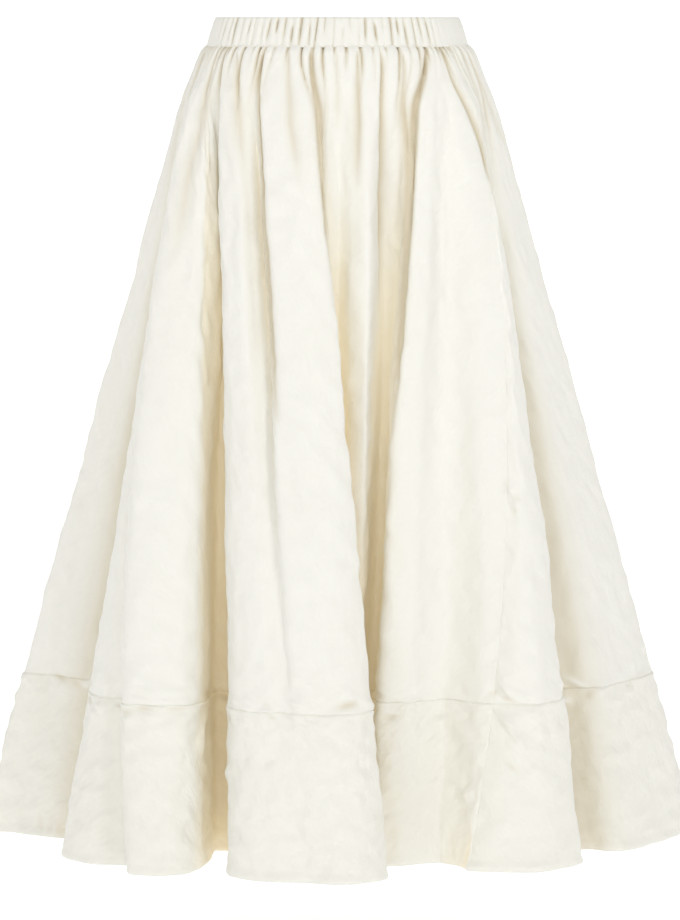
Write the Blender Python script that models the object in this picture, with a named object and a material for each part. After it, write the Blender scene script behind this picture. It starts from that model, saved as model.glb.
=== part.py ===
"""Gathered maxi skirt, worn and filled out: elastic waistband, four gathered panels, deep hem band.

Metres, +Z up, front towards -Y. The origin is the middle of the waistband at half its height.
"""

from collections import namedtuple
import math

import bpy
import numpy as np

MM = 0.001
SKIRT_NAME = "gathered_maxi_skirt"

# Waistband: half widths and half depths of its ring, and its height about the origin
BAND_TOP = (127.5 * MM, 91.5 * MM)
BAND_FOOT = (137.0 * MM, 98.5 * MM)
BAND_HALF_HEIGHT = 15.5 * MM
BAND_WALL = 3.5 * MM
RIB_COUNT = 84
RIB_RISE = 1.1 * MM
RIB_STEPS = 4
RIB_SIDE_SHARE = 0.45
RING_SAMPLES = 3600
# Height as a share of half the band's height, share of the ribs' rise, and how far the cloth puffs
RIB_PROFILE = ((1.0, 0.5, 0.0), (0.0, 1.0, 0.9 * MM), (-1.0, 0.5, 0.4 * MM))

# How uneven ribs and gathers are: share of the mean, and turn and start of its wave in radians
Sway = namedtuple("Sway", "share turn start")
RIB_SWAY = (Sway(0.30, 1.9, 0.0),)
GATHER_RISE_SWAY = (Sway(0.27, 2.1, 0.0), Sway(0.17, 5.3, 1.0))
GATHER_LENGTH_SWAY = (Sway(0.38, 1.7, 0.5), Sway(0.22, 4.1, 0.0))

# Panels and hem band
PANEL_WALL = 1.6 * MM
HEM_WALL = 2.2 * MM
SEAM_GAP = 0.3 * MM
PANEL_TOP = -BAND_HALF_HEIGHT - SEAM_GAP
HEM_SEAM = -681.0 * MM
HEM_SEAM_SIDE_RISE = 6.0 * MM
HEM_FOOT = -846.5 * MM
HEM_HALF_WIDTH = 380.0 * MM
HEM_HALF_DEPTH = 286.0 * MM

# The smooth body under the folds, from the waist seam to the hip, in millimetres
Girth = namedtuple("Girth", "z half_width half_depth")
GIRTHS = (
    Girth(-15.8, 135.5, 97.0),
    Girth(-20.0, 142.5, 102.5),
    Girth(-30.0, 147.5, 106.5),
    Girth(-45.0, 153.0, 110.5),
    Girth(-62.0, 160.0, 116.0),
    Girth(-81.0, 166.5, 121.0),
)

# Fold lines run from the waist to the hem, in order round the skirt from the left side by the
# front. waist and hip are degrees round the ring, 180 left, 90 front, 0 right and negative at
# the back. hem_x and hem_depth are its place at the hem (depth towards the front), and bow_x and
# bow_depth how far it bows from a straight line halfway down, in millimetres. dent is how far
# it lies inwards a quarter of the way down, also in millimetres, in a valley that fades below.
# gathers is the number of gathers from this line to the next.
Fold = namedtuple("Fold", "name waist hip hem_x hem_depth bow_x bow_depth dent gathers")
FOLDS = (
    Fold("a_crest", 180.0, 180.0, -378, -6, 0, 0, 0, 1),
    Fold("a_front", 176.7, 175.5, -338, 14, 0, 0, 0, 1),
    Fold("a_inner", 173.6, 172.0, -300, 40, 0, 0, 0, 1),
    Fold("ab_floor", 170.6, 169.0, -263, 52, -3, 0, 10, 1),
    Fold("b_wall", 168.0, 166.5, -264, 96, -2, 0, 5, 1),
    Fold("b_edge", 165.2, 164.0, -284, 138, 2, 0, 0, 1),
    Fold("b_front", 162.8, 161.8, -252, 180, -12, 0, 0, 1),
    Fold("b_inner", 160.6, 160.0, -220, 188, -23, 0, 0, 1),
    Fold("left_seam", 158.5, 158.3, -213, 192, -28, 0, 0, 1),
    Fold("c_edge", 156.0, 156.0, -211, 232, -26, 0, 0, 1),
    Fold("c_front", 152.2, 151.0, -182, 243, -6, 0, 0, 1),
    Fold("c_inner", 149.2, 147.0, -150, 226, 0, 0, 0, 1),
    Fold("cd_wall", 147.0, 145.8, -132, 172, 0, 0, 4, 1),
    Fold("cd_floor", 145.1, 143.2, -126, 110, 1, 0, 14, 1),
    Fold("d_wall", 143.3, 140.7, -104, 118, 1, 0, 9, 1),
    Fold("d_edge", 141.3, 138.0, -108, 238, 3, 0, 0, 1),
    Fold("d_left", 136.0, 133.2, -86, 263, 0, 0, 0, 1),
    Fold("d_ridge", 130.2, 129.2, -62, 272, 0, 0, 0, 1),
    Fold("dip_wall", 126.3, 126.4, -42, 275, -5, 0, 12, 1),
    Fold("dip_floor", 123.2, 124.0, -30, 278, -5, 0, 25, 1),
    Fold("dip_edge", 120.1, 121.4, -20, 281, -4, 0, 2, 1),
    Fold("d_crest", 114.0, 112.5, 4, 287, 0, 2, 0, 1),
    Fold("d_right", 108.0, 104.3, 30, 278, 0, 2, 0, 1),
    Fold("d_lip", 102.5, 98.3, 50, 248, 2, 0, 0, 1),
    Fold("d_under", 98.0, 95.6, 14, 214, 4, 0, 0, 1),
    Fold("de_wall", 94.0, 93.0, -26, 142, 3, 0, 8, 1),
    Fold("de_floor", 89.5, 89.3, -17, 112, 5, 0, 15, 1),
    Fold("m_left", 83.5, 84.5, -2, 134, 6, 5, 9, 1),
    Fold("m_crest", 77.5, 79.5, 9, 138, 8, 7, 3, 1),
    Fold("m_edge", 71.5, 74.3, 12, 112, 8, 3, 14, 1),
    Fold("e_floor", 65.8, 70.0, 22, 96, 7, -2, 20, 1),
    Fold("e_turn", 60.8, 66.0, 35, 106, 3, -2, 16, 1),
    Fold("e_wall", 56.0, 62.3, 38, 148, -4, 0, 6, 1),
    Fold("e_edge", 50.5, 58.5, 36, 190, -6, 0, 0, 1),
    Fold("e_left", 47.4, 54.0, 64, 193, 0, 0, 0, 1),
    Fold("e_dip", 44.0, 48.0, 106, 172, 3, -4, 7, 2),
    Fold("e_rise", 41.0, 41.0, 133, 208, 20, 0, 0, 1),
    Fold("right_seam", 38.5, 33.4, 132, 214, 38, 2, 0, 1),
    Fold("e_crest", 36.4, 31.2, 170, 225, 29, 2, 0, 1),
    Fold("e_right", 34.4, 29.2, 212, 219, 16, 0, 0, 1),
    Fold("e_lip", 32.5, 27.8, 249, 174, 7, 0, 0, 1),
    Fold("f_wall", 28.5, 23.2, 239, 114, 4, 0, 8, 1),
    Fold("f_floor", 22.4, 18.5, 260, 106, 2, 0, 10, 1),
    Fold("f_inner", 16.0, 13.0, 290, 114, 0, 0, 2, 1),
    Fold("f_front", 8.0, 6.8, 340, 58, 0, 0, 0, 1),
    Fold("f_crest", 0.0, 0.0, 380, -8, 0, 0, 0, 1),
    Fold("f_back", -6.0, -6.0, 368, -56, 0, 0, 0, 1),
    Fold("f_turn", -12.0, -12.0, 328, -88, 0, 0, 0, 1),
    Fold("g_floor", -17.5, -17.5, 276, -80, 2, 0, 8, 1),
    Fold("g_wall", -22.5, -22.0, 262, -118, 2, 0, 5, 1),
    Fold("g_edge", -28.0, -27.0, 290, -172, 2, 0, 0, 1),
    Fold("g_crest", -34.5, -33.5, 266, -206, 0, 2, 0, 2),
    Fold("g_inner", -43.0, -41.5, 224, -214, 0, 0, 0, 1),
    Fold("gh_wall", -48.0, -46.0, 196, -170, 0, 0, 5, 1),
    Fold("right_back_seam", -52.5, -50.0, 172, -116, 0, 0, 12, 1),
    Fold("h_wall", -57.0, -54.5, 148, -142, 0, 0, 8, 1),
    Fold("h_edge", -62.0, -59.5, 158, -222, 2, 0, 0, 2),
    Fold("h_crest", -71.0, -68.5, 116, -264, 2, 2, 0, 1),
    Fold("h_inner", -78.5, -76.0, 72, -262, 0, 0, 0, 1),
    Fold("hi_wall", -84.0, -81.5, 46, -204, 0, 0, 5, 1),
    Fold("hi_floor", -89.0, -86.5, 26, -114, 0, 0, 14, 1),
    Fold("i_wall", -94.0, -91.5, 2, -152, 0, 0, 8, 1),
    Fold("i_edge", -99.0, -96.5, 12, -238, 2, 0, 0, 2),
    Fold("i_crest", -107.0, -104.0, -36, -282, 0, 2, 0, 1),
    Fold("i_inner", -115.0, -112.0, -88, -270, 0, 0, 0, 1),
    Fold("ij_wall", -120.5, -117.5, -110, -212, 0, 0, 5, 1),
    Fold("ij_floor", -125.5, -122.5, -126, -110, 0, 0, 14, 1),
    Fold("left_back_seam", -130.0, -127.0, -150, -136, 0, 0, 8, 1),
    Fold("j_edge", -135.0, -132.0, -144, -206, -2, 0, 0, 2),
    Fold("j_crest", -143.0, -140.5, -188, -240, 0, 2, 0, 1),
    Fold("j_inner", -149.5, -147.0, -234, -220, 0, 0, 0, 1),
    Fold("jk_wall", -154.5, -152.5, -250, -166, 0, 0, 5, 1),
    Fold("jk_floor", -159.0, -157.5, -248, -96, 0, 0, 10, 1),
    Fold("k_edge", -164.0, -163.0, -292, -130, 0, 0, 0, 1),
    Fold("k_crest", -169.5, -169.0, -340, -104, 0, 0, 0, 1),
    Fold("k_inner", -175.0, -175.0, -352, -52, 0, 0, 0, 1),
)
COLUMNS_A_GATHER = 4
FOLD_START = -46.0 * MM
FOLD_ONSET = 0.05
DENT_PEAK = 256.0 / 27.0

# Gathers: soft ripples below the waist seam, uneven in height and length
GATHER_PITCH_SHARE = 0.19
GATHER_RISE_MOST = 2.25 * MM
GATHER_SEAM_SHARE = 0.30
GATHER_SWELL = 9.0 * MM
GATHER_LENGTH = 125.0 * MM
GATHER_FADE = 1.5

# Heights of the rings: close and finely divided at the gathers, then half as many columns
FINE_RINGS = (-21.0 * MM, -36.0 * MM, -60.0 * MM)
PLAIN_RING_SHARES = (0.07, 0.18, 0.34, 0.55, 0.78, 1.0)
HEM_RING_SHARES = (0.0, 0.45, 1.0)

# Node name, first and last fold line
PIECES = (
    ("front", "left_seam", "right_seam"),
    ("right", "right_seam", "right_back_seam"),
    ("back", "right_back_seam", "left_back_seam"),
    ("left", "left_back_seam", "left_seam"),
)

CLOTH_COLOUR = (0.87, 0.85, 0.77, 1.0)
BAND_COLOUR = (0.86, 0.84, 0.76, 1.0)
CLOTH_ROUGHNESS = 0.85

FIRST_COLUMN = np.concatenate(([0], np.cumsum([fold.gathers for fold in FOLDS]))) * COLUMNS_A_GATHER
COLUMN_COUNT = int(FIRST_COLUMN[-1])


def uneven(sways, number):
    """Factor near 1 that differs from one rib or gather to the next."""
    return 1.0 + sum(sway.share * np.sin(sway.turn * number + sway.start) for sway in sways)


def column(name):
    """Name a field of the fold table as an array."""
    return np.array([getattr(fold, name) for fold in FOLDS], dtype=float)


def fold_column(name):
    """Fine column on which a fold line lies."""
    return int(FIRST_COLUMN[[fold.name for fold in FOLDS].index(name)])


def ellipse(half_width, half_depth, degrees):
    """Points on a ring in plan, degrees growing from the right side towards the front."""
    angle = np.radians(degrees)
    return np.stack((half_width * np.cos(angle), -half_depth * np.sin(angle)), axis=-1)


def even_degrees(half_width, half_depth, steps):
    """Angles, from the left side by the front, that part a ring into steps of equal length."""
    fine = 180.0 - np.linspace(0.0, 360.0, RING_SAMPLES + 1)
    ring = ellipse(half_width, half_depth, fine)
    length = np.concatenate(([0.0], np.cumsum(np.linalg.norm(np.diff(ring, axis=0), axis=1))))
    return np.interp(np.arange(steps) * length[-1] / steps, length, fine)


def girth(z):
    """Half width and half depth of the smooth body at height z."""
    heights = np.array([row.z for row in GIRTHS[::-1]]) * MM
    widths = np.array([row.half_width for row in GIRTHS[::-1]]) * MM
    depths = np.array([row.half_depth for row in GIRTHS[::-1]]) * MM
    if z >= heights[0]:
        return float(np.interp(z, heights, widths)), float(np.interp(z, heights, depths))
    share = (heights[0] - z) / (heights[0] - HEM_FOOT)
    return (
        widths[0] + (HEM_HALF_WIDTH - widths[0]) * share,
        depths[0] + (HEM_HALF_DEPTH - depths[0]) * share,
    )


def fold_points(z):
    """Plan positions of all fold lines at height z."""
    blend = min(1.0, (PANEL_TOP - z) / (PANEL_TOP - GIRTHS[-1].z * MM))
    blend = blend * blend * (3.0 - 2.0 * blend)
    degrees = column("waist") + (column("hip") - column("waist")) * blend
    half_width, half_depth = girth(z)
    body = ellipse(half_width, half_depth, degrees)
    fall = max(0.0, (FOLD_START - z) / (FOLD_START - HEM_FOOT))
    spread = fall * fall * (1.0 + FOLD_ONSET) / (fall + FOLD_ONSET)
    hem = np.stack((column("hem_x"), -column("hem_depth")), axis=-1) * MM
    bow = np.stack((column("bow_x"), -column("bow_depth")), axis=-1) * MM
    body_at_hem = ellipse(HEM_HALF_WIDTH, HEM_HALF_DEPTH, degrees)
    inwards = -body / np.array((half_width**2, half_depth**2))
    inwards /= np.linalg.norm(inwards, axis=1)[:, None]
    dent = inwards * column("dent")[:, None] * MM * DENT_PEAK * fall * (1.0 - fall) ** 3
    return body + (hem - body_at_hem) * spread + bow * 4.0 * fall * (1.0 - fall) + dent


def smooth_ring(points):
    """Closed smooth curve through the fold lines, sampled at every fine column."""
    after = np.roll(points, -1, axis=0)
    chord = np.sqrt(np.linalg.norm(after - points, axis=1))[:, None]
    chord_before = np.roll(chord, 1, axis=0)
    slope = (after - points) / chord
    slope_before = np.roll(slope, 1, axis=0)
    tangent = (slope_before * chord + slope * chord_before) / (chord + chord_before)
    steps = np.diff(FIRST_COLUMN)
    line = np.repeat(np.arange(len(FOLDS)), steps)
    share = (np.arange(COLUMN_COUNT) - FIRST_COLUMN[line]) / steps[line]
    share = share[:, None]
    start = points[line]
    end = after[line]
    out = tangent[line] * chord[line]
    into = np.roll(tangent, -1, axis=0)[line] * chord[line]
    return (
        start * (1.0 + 2.0 * share) * (1.0 - share) ** 2
        + out * share * (1.0 - share) ** 2
        + end * share**2 * (3.0 - 2.0 * share)
        + into * share**2 * (share - 1.0)
    )


def ring_frame(ring):
    """Unit tangents and outward normals of a closed ring in plan."""
    tangent = np.roll(ring, -1, axis=0) - np.roll(ring, 1, axis=0)
    tangent /= np.linalg.norm(tangent, axis=1)[:, None]
    normal = np.stack((tangent[:, 1], -tangent[:, 0]), axis=-1)
    return tangent, normal


def gather_heights(ring, z):
    """Outward height of the gathers at each fine column, at height z."""
    index = np.arange(COLUMN_COUNT)
    gather = index // COLUMNS_A_GATHER
    wave = np.cos(2.0 * math.pi * index / COLUMNS_A_GATHER)
    step = np.linalg.norm(np.roll(ring, -1, axis=0) - ring, axis=1)
    pitch = np.repeat(step.reshape(-1, COLUMNS_A_GATHER).sum(axis=1), COLUMNS_A_GATHER)
    rise = np.minimum(GATHER_RISE_MOST, pitch * GATHER_PITCH_SHARE)
    rise *= uneven(GATHER_RISE_SWAY, gather)
    length = GATHER_LENGTH * uneven(GATHER_LENGTH_SWAY, gather)
    below = PANEL_TOP - z
    swell = GATHER_SEAM_SHARE + (1.0 - GATHER_SEAM_SHARE) * min(1.0, below / GATHER_SWELL)
    return wave * rise * swell * np.exp(-((below / length) ** GATHER_FADE))


def cloth_ring(z):
    """Middle of the cloth at height z, at every fine column."""
    ring = smooth_ring(fold_points(z))
    _, normal = ring_frame(ring)
    return ring + normal * gather_heights(ring, z)[:, None]


def wall_row(z, side_rise, wall, first, last, stride):
    """Outer and inner points of one piece's wall at one height, short of its neighbours' seams."""
    ring = cloth_ring(z)[::stride]
    tangent, normal = ring_frame(ring)
    pick = np.arange(first // stride, last // stride + 1) % len(ring)
    middle = ring[pick].copy()
    middle[0] += tangent[pick[0]] * SEAM_GAP / 2
    middle[-1] -= tangent[pick[-1]] * SEAM_GAP / 2
    height = z + side_rise * (middle[:, 0] / HEM_HALF_WIDTH) ** 2
    outer = np.column_stack((middle + normal[pick] * wall / 2, height))
    inner = np.column_stack((middle - normal[pick] * wall / 2, height))
    return outer, inner


def add_piece(name, vertices, faces, colour):
    """Make one named solid with its own cloth material."""
    mesh = bpy.data.meshes.new(name)
    mesh.from_pydata(vertices, [], faces)
    mesh.validate()
    material = bpy.data.materials.new(name + "_cloth")
    material.use_nodes = True
    shader = material.node_tree.nodes["Principled BSDF"]
    shader.inputs["Base Color"].default_value = colour
    shader.inputs["Roughness"].default_value = CLOTH_ROUGHNESS
    shader.inputs["Metallic"].default_value = 0.0
    mesh.materials.append(material)
    piece = bpy.data.objects.new(name, mesh)
    bpy.data.collections[SKIRT_NAME].objects.link(piece)
    return piece


def strip_faces(upper, lower):
    """Triangles facing outwards between two rows of point numbers, the lower as long or half."""
    faces = []
    if len(upper) == len(lower):
        for j in range(len(upper) - 1):
            faces.append((upper[j], lower[j], lower[j + 1]))
            faces.append((upper[j], lower[j + 1], upper[j + 1]))
        return faces
    for j in range(len(lower) - 1):
        faces.append((upper[2 * j], lower[j], upper[2 * j + 1]))
        faces.append((upper[2 * j + 1], lower[j], lower[j + 1]))
        faces.append((upper[2 * j + 1], lower[j + 1], upper[2 * j + 2]))
    return faces


def edge_faces(outer_rows, inner_rows, i, end):
    """The wall's cut edge between rows i and i + 1, split alike on both sides of a seam."""
    outer_top, outer_foot = outer_rows[i][end], outer_rows[i + 1][end]
    inner_top, inner_foot = inner_rows[i][end], inner_rows[i + 1][end]
    return [(outer_top, outer_foot, inner_foot), (outer_top, inner_foot, inner_top)]


def add_wall(name, rows, colour):
    """Close a wall from its rows of outer and inner points, top row first."""
    points = []
    outer_rows = []
    inner_rows = []
    for outer, inner in rows:
        outer_rows.append(list(range(len(points), len(points) + len(outer))))
        points.extend(outer.tolist())
        inner_rows.append(list(range(len(points), len(points) + len(inner))))
        points.extend(inner.tolist())
    faces = []
    for i in range(len(rows) - 1):
        faces += strip_faces(outer_rows[i], outer_rows[i + 1])
        faces += [face[::-1] for face in strip_faces(inner_rows[i], inner_rows[i + 1])]
        faces += [face[::-1] for face in edge_faces(outer_rows, inner_rows, i, 0)]
        faces += edge_faces(outer_rows, inner_rows, i, -1)
    faces += strip_faces(inner_rows[0], outer_rows[0])
    faces += strip_faces(outer_rows[-1], inner_rows[-1])
    return add_piece(name, points, faces, colour)


def build_waistband():
    """Elastic casing in a front and a back half, with soft vertical ribs on its outside."""
    steps = RIB_COUNT * RIB_STEPS
    degrees = even_degrees(*BAND_FOOT, steps)
    wave = np.cos(2.0 * math.pi * np.arange(steps) / RIB_STEPS)
    strength = RIB_SIDE_SHARE + (1.0 - RIB_SIDE_SHARE) * np.abs(np.sin(np.radians(degrees)))
    strength *= uneven(RIB_SWAY, np.arange(steps) // RIB_STEPS)
    halves = (("waistband_front", 0), ("waistband_back", steps // 2))
    for name, first in halves:
        pick = np.arange(first, first + steps // 2 + 1) % steps
        rows = []
        for share, rib_share, puff in RIB_PROFILE:
            mix = (share + 1.0) / 2.0
            width = BAND_FOOT[0] + (BAND_TOP[0] - BAND_FOOT[0]) * mix
            depth = BAND_FOOT[1] + (BAND_TOP[1] - BAND_FOOT[1]) * mix
            ring = ellipse(width, depth, degrees)
            tangent, normal = ring_frame(ring)
            ring[pick[0]] += tangent[pick[0]] * SEAM_GAP / 2
            ring[pick[-1]] -= tangent[pick[-1]] * SEAM_GAP / 2
            rib = (RIB_RISE * rib_share * wave * strength + puff)[:, None]
            outer = ring + normal * rib
            inner = ring - normal * BAND_WALL
            height = np.full(len(pick), share * BAND_HALF_HEIGHT)
            rows.append((
                np.column_stack((outer[pick], height)),
                np.column_stack((inner[pick], height)),
            ))
        add_wall(name, rows, BAND_COLOUR)


def build_panels():
    """Four gathered panels and the four lengths of hem band sewn to them."""
    panel_drop = HEM_SEAM - FINE_RINGS[-1]
    plain_rings = [FINE_RINGS[-1] + panel_drop * share for share in PLAIN_RING_SHARES]
    plain_rings[-1] += SEAM_GAP / 2
    band_top = HEM_SEAM - SEAM_GAP / 2
    for side, start, end in PIECES:
        first = fold_column(start)
        last = fold_column(end)
        if last < first:
            last += COLUMN_COUNT
        rows = [wall_row(z, 0.0, PANEL_WALL, first, last, 1) for z in (PANEL_TOP, *FINE_RINGS)]
        for z, share in zip(plain_rings, PLAIN_RING_SHARES):
            rows.append(wall_row(z, HEM_SEAM_SIDE_RISE * share, PANEL_WALL, first, last, 2))
        add_wall("panel_" + side, rows, CLOTH_COLOUR)
        rows = []
        for share in HEM_RING_SHARES:
            z = band_top + (HEM_FOOT - band_top) * share
            rise = HEM_SEAM_SIDE_RISE * (1.0 - share)
            rows.append(wall_row(z, rise, HEM_WALL, first, last, 2))
        add_wall("hem_band_" + side, rows, BAND_COLOUR)


def main():
    """Clear the scene and build the skirt."""
    for thing in list(bpy.data.objects):
        bpy.data.objects.remove(thing, do_unlink=True)
    skirt = bpy.data.collections.new(SKIRT_NAME)
    bpy.context.scene.collection.children.link(skirt)
    build_waistband()
    build_panels()


main()
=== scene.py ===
"""Gathered maxi skirt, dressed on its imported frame.

Ten closed cloth shells stand for the ten solids: two halves of an elastic waistband, four gathered
panels and four lengths of a deep hem band. Every shell is a function of two parameters, the fold
line round the skirt and the height down it, worked out as whole arrays.

Metres, +Z up, front towards -Y. The origin is the middle of the waistband.
"""

from collections.abc import Mapping
from dataclasses import dataclass, field
from enum import Enum
import logging
import math
from typing import Any, NamedTuple

import bpy
import numpy as np
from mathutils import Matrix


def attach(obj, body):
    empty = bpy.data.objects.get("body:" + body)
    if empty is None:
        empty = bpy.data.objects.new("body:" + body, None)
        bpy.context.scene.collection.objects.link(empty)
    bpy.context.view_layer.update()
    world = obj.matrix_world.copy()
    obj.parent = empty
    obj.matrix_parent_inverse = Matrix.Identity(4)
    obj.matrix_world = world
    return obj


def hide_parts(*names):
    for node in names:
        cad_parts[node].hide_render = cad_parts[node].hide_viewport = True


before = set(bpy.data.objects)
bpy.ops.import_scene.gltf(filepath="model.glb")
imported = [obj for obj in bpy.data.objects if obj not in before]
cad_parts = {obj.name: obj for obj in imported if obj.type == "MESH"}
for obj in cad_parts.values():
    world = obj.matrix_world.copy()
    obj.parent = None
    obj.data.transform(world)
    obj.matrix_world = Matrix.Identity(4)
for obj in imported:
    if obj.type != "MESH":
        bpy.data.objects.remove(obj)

log = logging.getLogger("skirt")
Array = np.ndarray
Colour = tuple[float, float, float, float]
Scale = tuple[float, float, float]
Socket = bpy.types.NodeSocket

MM = 0.001
CLOTH_UV = "cloth"
# Names of the two masks of painted shade: in gathers, creases and seam grooves, and in deep folds.
CREASE_SHADE_MASK = "hollow"
FOLD_SHADE_MASK = "painted_fold_shade"


class Fold(NamedTuple):
    """One fold line: degrees round the waist and the hip, and its place at the hem in mm.

    It bows from a straight line halfway down and is dented towards the body a quarter of the way
    down, both in mm. The last number is of the gathers between it and the next line.
    """

    name: str
    waist: float
    hip: float
    hem_x: float
    hem_depth: float
    bow_x: float = 0.0
    bow_depth: float = 0.0
    dent: float = 0.0
    gathers: int = 1


FOLDS = (
    Fold("a_crest", 180.0, 180.0, -378, -6),
    Fold("a_front", 176.7, 175.5, -338, 14),
    Fold("a_inner", 173.6, 172.0, -300, 40),
    Fold("ab_floor", 170.6, 169.0, -263, 52, -3, 0, 10),
    Fold("b_wall", 168.0, 166.5, -264, 96, -2, 0, 5),
    Fold("b_edge", 165.2, 164.0, -284, 138, 2),
    Fold("b_front", 162.8, 161.8, -252, 180, -12),
    Fold("b_inner", 160.6, 160.0, -220, 188, -23),
    Fold("left_seam", 158.5, 158.3, -213, 192, -28),
    Fold("c_edge", 156.0, 156.0, -211, 232, -26),
    Fold("c_front", 152.2, 151.0, -182, 243, -6),
    Fold("c_inner", 149.2, 147.0, -150, 226),
    Fold("cd_wall", 147.0, 145.8, -132, 172, 0, 0, 4),
    Fold("cd_floor", 145.1, 143.2, -126, 110, 1, 0, 14),
    Fold("d_wall", 143.3, 140.7, -104, 118, 1, 0, 9),
    Fold("d_edge", 141.3, 138.0, -108, 238, 3),
    Fold("d_left", 136.0, 133.2, -86, 263),
    Fold("d_ridge", 130.2, 129.2, -62, 272),
    Fold("dip_wall", 126.3, 126.4, -42, 275, -5, 0, 12),
    Fold("dip_floor", 123.2, 124.0, -30, 278, -5, 0, 25),
    Fold("dip_edge", 120.1, 121.4, -20, 281, -4, 0, 2),
    Fold("d_crest", 114.0, 112.5, 4, 287, 0, 2),
    Fold("d_right", 108.0, 104.3, 30, 278, 0, 2),
    Fold("d_lip", 102.5, 98.3, 50, 248, 2),
    Fold("d_under", 98.0, 95.6, 14, 214, 4),
    Fold("de_wall", 94.0, 93.0, -26, 142, 3, 0, 8),
    Fold("de_floor", 89.5, 89.3, -17, 112, 5, 0, 15),
    Fold("m_left", 83.5, 84.5, -2, 134, 6, 5, 9),
    Fold("m_crest", 77.5, 79.5, 9, 138, 8, 7, 3),
    Fold("m_edge", 71.5, 74.3, 12, 112, 8, 3, 14),
    Fold("e_floor", 65.8, 70.0, 22, 96, 7, -2, 20),
    Fold("e_turn", 60.8, 66.0, 35, 106, 3, -2, 16),
    Fold("e_wall", 56.0, 62.3, 38, 148, -4, 0, 6),
    Fold("e_edge", 50.5, 58.5, 36, 190, -6),
    Fold("e_left", 47.4, 54.0, 64, 193),
    Fold("e_dip", 44.0, 48.0, 106, 172, 3, -4, 7, 2),
    Fold("e_rise", 41.0, 41.0, 133, 208, 20),
    Fold("right_seam", 38.5, 33.4, 132, 214, 38, 2),
    Fold("e_crest", 36.4, 31.2, 170, 225, 29, 2),
    Fold("e_right", 34.4, 29.2, 212, 219, 16),
    Fold("e_lip", 32.5, 27.8, 249, 174, 7),
    Fold("f_wall", 28.5, 23.2, 239, 114, 4, 0, 8),
    Fold("f_floor", 22.4, 18.5, 260, 106, 2, 0, 10),
    Fold("f_inner", 16.0, 13.0, 290, 114, 0, 0, 2),
    Fold("f_front", 8.0, 6.8, 340, 58),
    Fold("f_crest", 0.0, 0.0, 380, -8),
    Fold("f_back", -6.0, -6.0, 368, -56),
    Fold("f_turn", -12.0, -12.0, 328, -88),
    Fold("g_floor", -17.5, -17.5, 276, -80, 2, 0, 8),
    Fold("g_wall", -22.5, -22.0, 262, -118, 2, 0, 5),
    Fold("g_edge", -28.0, -27.0, 290, -172, 2),
    Fold("g_crest", -34.5, -33.5, 266, -206, 0, 2, 0, 2),
    Fold("g_inner", -43.0, -41.5, 224, -214),
    Fold("gh_wall", -48.0, -46.0, 196, -170, 0, 0, 5),
    Fold("right_back_seam", -52.5, -50.0, 172, -116, 0, 0, 12),
    Fold("h_wall", -57.0, -54.5, 148, -142, 0, 0, 8),
    Fold("h_edge", -62.0, -59.5, 158, -222, 2, 0, 0, 2),
    Fold("h_crest", -71.0, -68.5, 116, -264, 2, 2),
    Fold("h_inner", -78.5, -76.0, 72, -262),
    Fold("hi_wall", -84.0, -81.5, 46, -204, 0, 0, 5),
    Fold("hi_floor", -89.0, -86.5, 26, -114, 0, 0, 14),
    Fold("i_wall", -94.0, -91.5, 2, -152, 0, 0, 8),
    Fold("i_edge", -99.0, -96.5, 12, -238, 2, 0, 0, 2),
    Fold("i_crest", -107.0, -104.0, -36, -282, 0, 2),
    Fold("i_inner", -115.0, -112.0, -88, -270),
    Fold("ij_wall", -120.5, -117.5, -110, -212, 0, 0, 5),
    Fold("ij_floor", -125.5, -122.5, -126, -110, 0, 0, 14),
    Fold("left_back_seam", -130.0, -127.0, -150, -136, 0, 0, 8),
    Fold("j_edge", -135.0, -132.0, -144, -206, -2, 0, 0, 2),
    Fold("j_crest", -143.0, -140.5, -188, -240, 0, 2),
    Fold("j_inner", -149.5, -147.0, -234, -220),
    Fold("jk_wall", -154.5, -152.5, -250, -166, 0, 0, 5),
    Fold("jk_floor", -159.0, -157.5, -248, -96, 0, 0, 10),
    Fold("k_edge", -164.0, -163.0, -292, -130),
    Fold("k_crest", -169.5, -169.0, -340, -104),
    Fold("k_inner", -175.0, -175.0, -352, -52),
)


class Girth(NamedTuple):
    """Half width and half depth of the smooth body at one height, in mm."""

    z: float
    half_width: float
    half_depth: float


class Crease(NamedTuple):
    """A long trough: its path as fold line numbers and heights, depth and width in mm.

    A depth below nothing fills a hollow instead. A lean above nothing makes the trough soft on
    its left and crisp on its right, seen from outside, and one below nothing the other way round.
    """

    name: str
    path: tuple[tuple[float, float], ...]
    depth: float
    width: float
    lean: float = 0.0


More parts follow.
